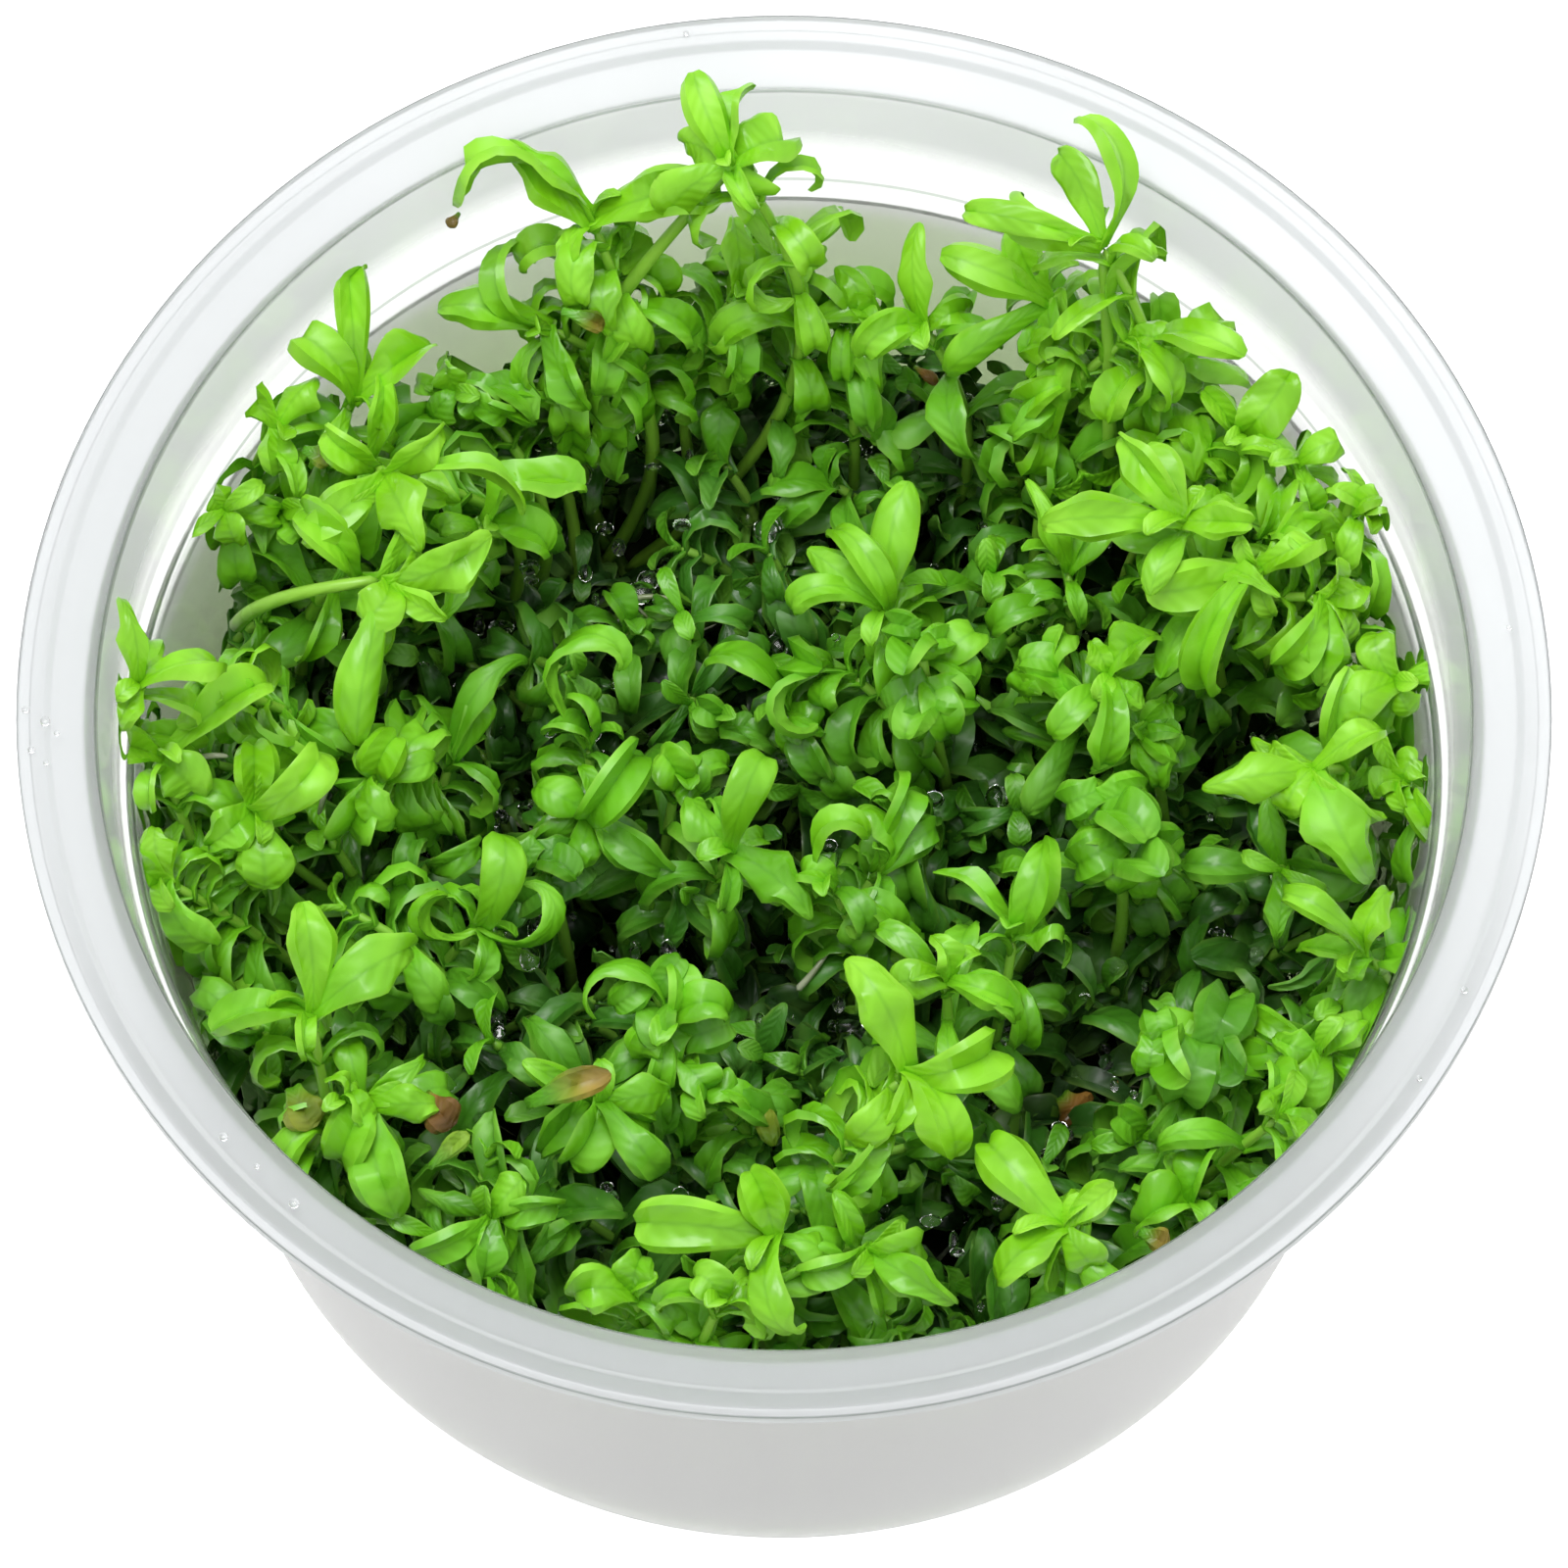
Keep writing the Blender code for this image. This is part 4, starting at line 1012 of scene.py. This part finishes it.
def growUndergrowth():
    s = undergrowth
    rng.seed(s["seed"])
    tips = [(tip, s["pairs"]) for tip in scatterTips(s["gap"], tallAt)]
    tips += [(tip, s["lowPairs"]) for tip in scatterTips(s["lowGap"], lowAt)]
    tips += [(tip, s["wallPairs"]) for tip in alongWall()]
    batch = s["batch"]
    for start in range(0, len(tips), batch):
        foliage = Foliage()
        for tip, pairs in tips[start:start + batch]:
            heading = leaning(rng.uniform(15, 80), rng.uniform(0, math.tau))
            midline = growStem(foliage, rootBelow(tip), tip, heading, 0.4)
            growBud(foliage, tip, heading)
            habit = habits[rng.choice(s["habits"])]
            growBelow(foliage, midline, habit, pairs, s["youngest"], coarseLeaf, s["shadeDrop"])
        foliage.finish(f"undergrowth{start // batch + 1}")
    print(f"{len(tips)} lower shoots grown")


growUndergrowth()


# Withered and discoloured leaves: base and end (picture x, picture y, height in mm), width in mm,
# how brown, and the share of the length where the brown begins
agedRows = [
    ((540, 1126, 42), (624, 1096, 45), 2.2, 0.85, 0.35), ((575, 318, 49), (616, 334, 48), 1.5, 0.8, 0.3),
    ((300, 1112, 42), (318, 1152, 42), 3.0, 0.5, 0.0), ((434, 1120, 41), (462, 1150, 41), 2.8, 1.75, 0.0),
    ((440, 1190, 42), (478, 1156, 43), 1.4, 0.25, 0.1), ((467, 220, 51), (458, 232, 51), 0.9, 0.9, 0.0),
    ((312, 460, 47), (338, 470, 47), 1.8, 0.5, 0.2), ((935, 376, 35), (957, 392, 35), 0.9, 1.2, 0.0),
    ((1165, 1258, 40), (1192, 1270, 40), 1.8, 0.8, 0.2), ((1085, 1120, 22), (1105, 1140, 22), 3.0, 1.0, 0.0),
    ((760, 560, 20), (790, 580, 20), 3.0, 0.8, 0.0), ((772, 1118, 34), (790, 1170, 35), 1.6, 0.5, 0.1),
]


def growAgedLeaves():
    foliage = Foliage()
    for base, end, width, brown, start in agedRows:
        grown = leafBetween(place(*base), place(*end), Vector((0, -0.3, 1)), width * mm, 1.5, 1.2,
                            puff=0.6, wave=0.4)
        foliage.add(grown, 0.5, aged=brown * softStep(grown[2][:, 1], start - 0.1, start + 0.5))
    foliage.finish("witheredLeaves")


# pale threads of root that lie over the gel and climb between the stems
rootForm = {"count": 170, "radius": (0.1, 0.2), "length": (2.5, 7.0), "reach": 36.0 * mm,
            "rise": (0.4, 7.0), "taper": 0.5, "leans": ((40, 95), (60, 140))}
# the ones that stand out: start, middle and end (picture x, picture y, height in mm) and radius in mm
rootRows = [
    ((190, 778, 43), (212, 768, 46), (234, 772, 45), 0.32),
    ((272, 828, 40), (280, 830, 39), (288, 848, 36), 0.3),
    ((328, 850, 36), (322, 822, 39), (338, 800, 41), 0.3),
    ((622, 622, 30), (655, 600, 33), (694, 614, 31), 0.28),
    ((640, 598, 30), (644, 618, 31), (664, 632, 30), 0.22),
    ((812, 1012, 30), (838, 985, 32), (850, 962, 31), 0.25),
]


def growRoots():
    foliage = Foliage()
    threads = []
    for thread in range(rootForm["count"]):
        spots = [onDisc(rootForm["reach"])]
        spots[0].z = gelSizes["height"] + rng.uniform(*rootForm["rise"]) * mm
        for lean in rootForm["leans"]:
            step = leaning(rng.uniform(*lean), rng.uniform(0, math.tau))
            spots.append(spots[-1] + step * rng.uniform(*rootForm["length"]) * mm / 2)
        threads.append((spots, rng.uniform(*rootForm["radius"])))
    threads += [([place(*mark) for mark in marks], radius) for *marks, radius in rootRows]
    for spots, radius in threads:
        foliage.add(drawnAlong(rootThread, arcOver(*spots), radius * mm, rootForm["taper"]), 0.5)
    foliage.finish("paleRoots", look=rootLook)


growAgedLeaves()
growRoots()


# beads of clear gel that cling to the lower stems and glint: the heights and radii in mm
beadForm = {"count": 950, "reach": 38.0 * mm, "height": (12.0, 31.0), "radius": (0.25, 0.85),
            "stretch": (0.5, 1.4)}


def makeBeads():
    foliage = Foliage()
    turns = math.pi * beadBall.ring / beadBall.rings
    unit = np.stack([beadBall.across * np.sin(turns), beadBall.rise * np.sin(turns), -np.cos(turns)], axis=1)
    for bead in range(beadForm["count"]):
        spot = onDisc(beadForm["reach"])
        spot.z = rng.uniform(*beadForm["height"]) * mm
        size = rng.uniform(*beadForm["radius"]) * mm
        size *= np.array([rng.uniform(*beadForm["stretch"]) for axis in range(3)])
        foliage.add((beadBall, np.array(spot) + unit * size, unit[:, :2], unit[:, 2]), 0.5)
    foliage.finish("gelBeads", look=dropLook)


makeBeads()


# Drops of water left on the rim: picture x, picture y and diameter in mm
rimDrops = [(26, 724, 0.5), (46, 736, 0.7), (58, 748, 0.4), (32, 765, 0.5), (47, 778, 0.4),
            (228, 1160, 0.6), (262, 1190, 0.4), (300, 1228, 0.7), (1494, 1010, 0.5),
            (1448, 1100, 0.4), (1540, 640, 0.4), (700, 34, 0.4)]


def makeDrops():
    bm = bmesh.new()
    for across, down, width in rimDrops:
        spot = place(across, down, cupSizes["rimHeight"] / mm)
        drop = bmesh.ops.create_icosphere(bm, subdivisions=2, radius=0.5 * width * mm)["verts"]
        bmesh.ops.scale(bm, vec=(1, 1, 0.35), verts=drop)
        bmesh.ops.translate(bm, vec=spot, verts=drop)
    drops = addItem("rimDrops", newMesh("rimDrops", bm), dropLook, 40)
    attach(drops, "root")


makeDrops()
print("withered leaves, roots and drops made")


# Floor and light

studio = {
    "floorSize": 4.0,
    "floorDrop": 0.05 * mm,
    "tableGlow": 1.4,
    "worldStrength": 0.83,
    "boxStrength": 5.2,
    "boxSize": 0.5,
    "boxPlace": Vector((-0.12, 0.15, 0.9)),
    "boxAim": Vector((0, 0, 0.03)),
}


# a white light table, evenly lit from below
def litTable(tree):
    return {"Base Color": (0, 0, 0, 1), "Roughness": 0.6, "Emission Color": (1, 1, 1, 1),
            "Emission Strength": studio["tableGlow"]}


def makeFloor():
    bm = bmesh.new()
    bmesh.ops.create_grid(bm, x_segments=1, y_segments=1, size=studio["floorSize"] / 2)
    bmesh.ops.translate(bm, vec=(0, 0, -studio["floorDrop"]), verts=bm.verts)
    material = newMaterial("litWhiteTable", litTable)
    material.cycles.emission_sampling = "NONE"
    floor = addItem("floor", newMesh("floor", bm), material, 40)


def makeLight():
    world = bpy.data.worlds.new("paleStudio")
    bpy.context.scene.world = world
    world.use_nodes = True
    background = world.node_tree.nodes["Background"]
    background.inputs["Color"].default_value = (1, 1, 1, 1)
    background.inputs["Strength"].default_value = studio["worldStrength"]
    data = bpy.data.lights.new("softbox", "AREA")
    data.shape = "SQUARE"
    data.size = studio["boxSize"]
    data.energy = studio["boxStrength"]
    box = bpy.data.objects.new("softbox", data)
    box.location = studio["boxPlace"]
    box.rotation_euler = (studio["boxAim"] - box.location).to_track_quat("-Z", "Y").to_euler()
    bpy.context.scene.collection.objects.link(box)
    bpy.context.scene.view_settings.view_transform = "Standard"


makeFloor()
makeLight()
print("floor and light made")
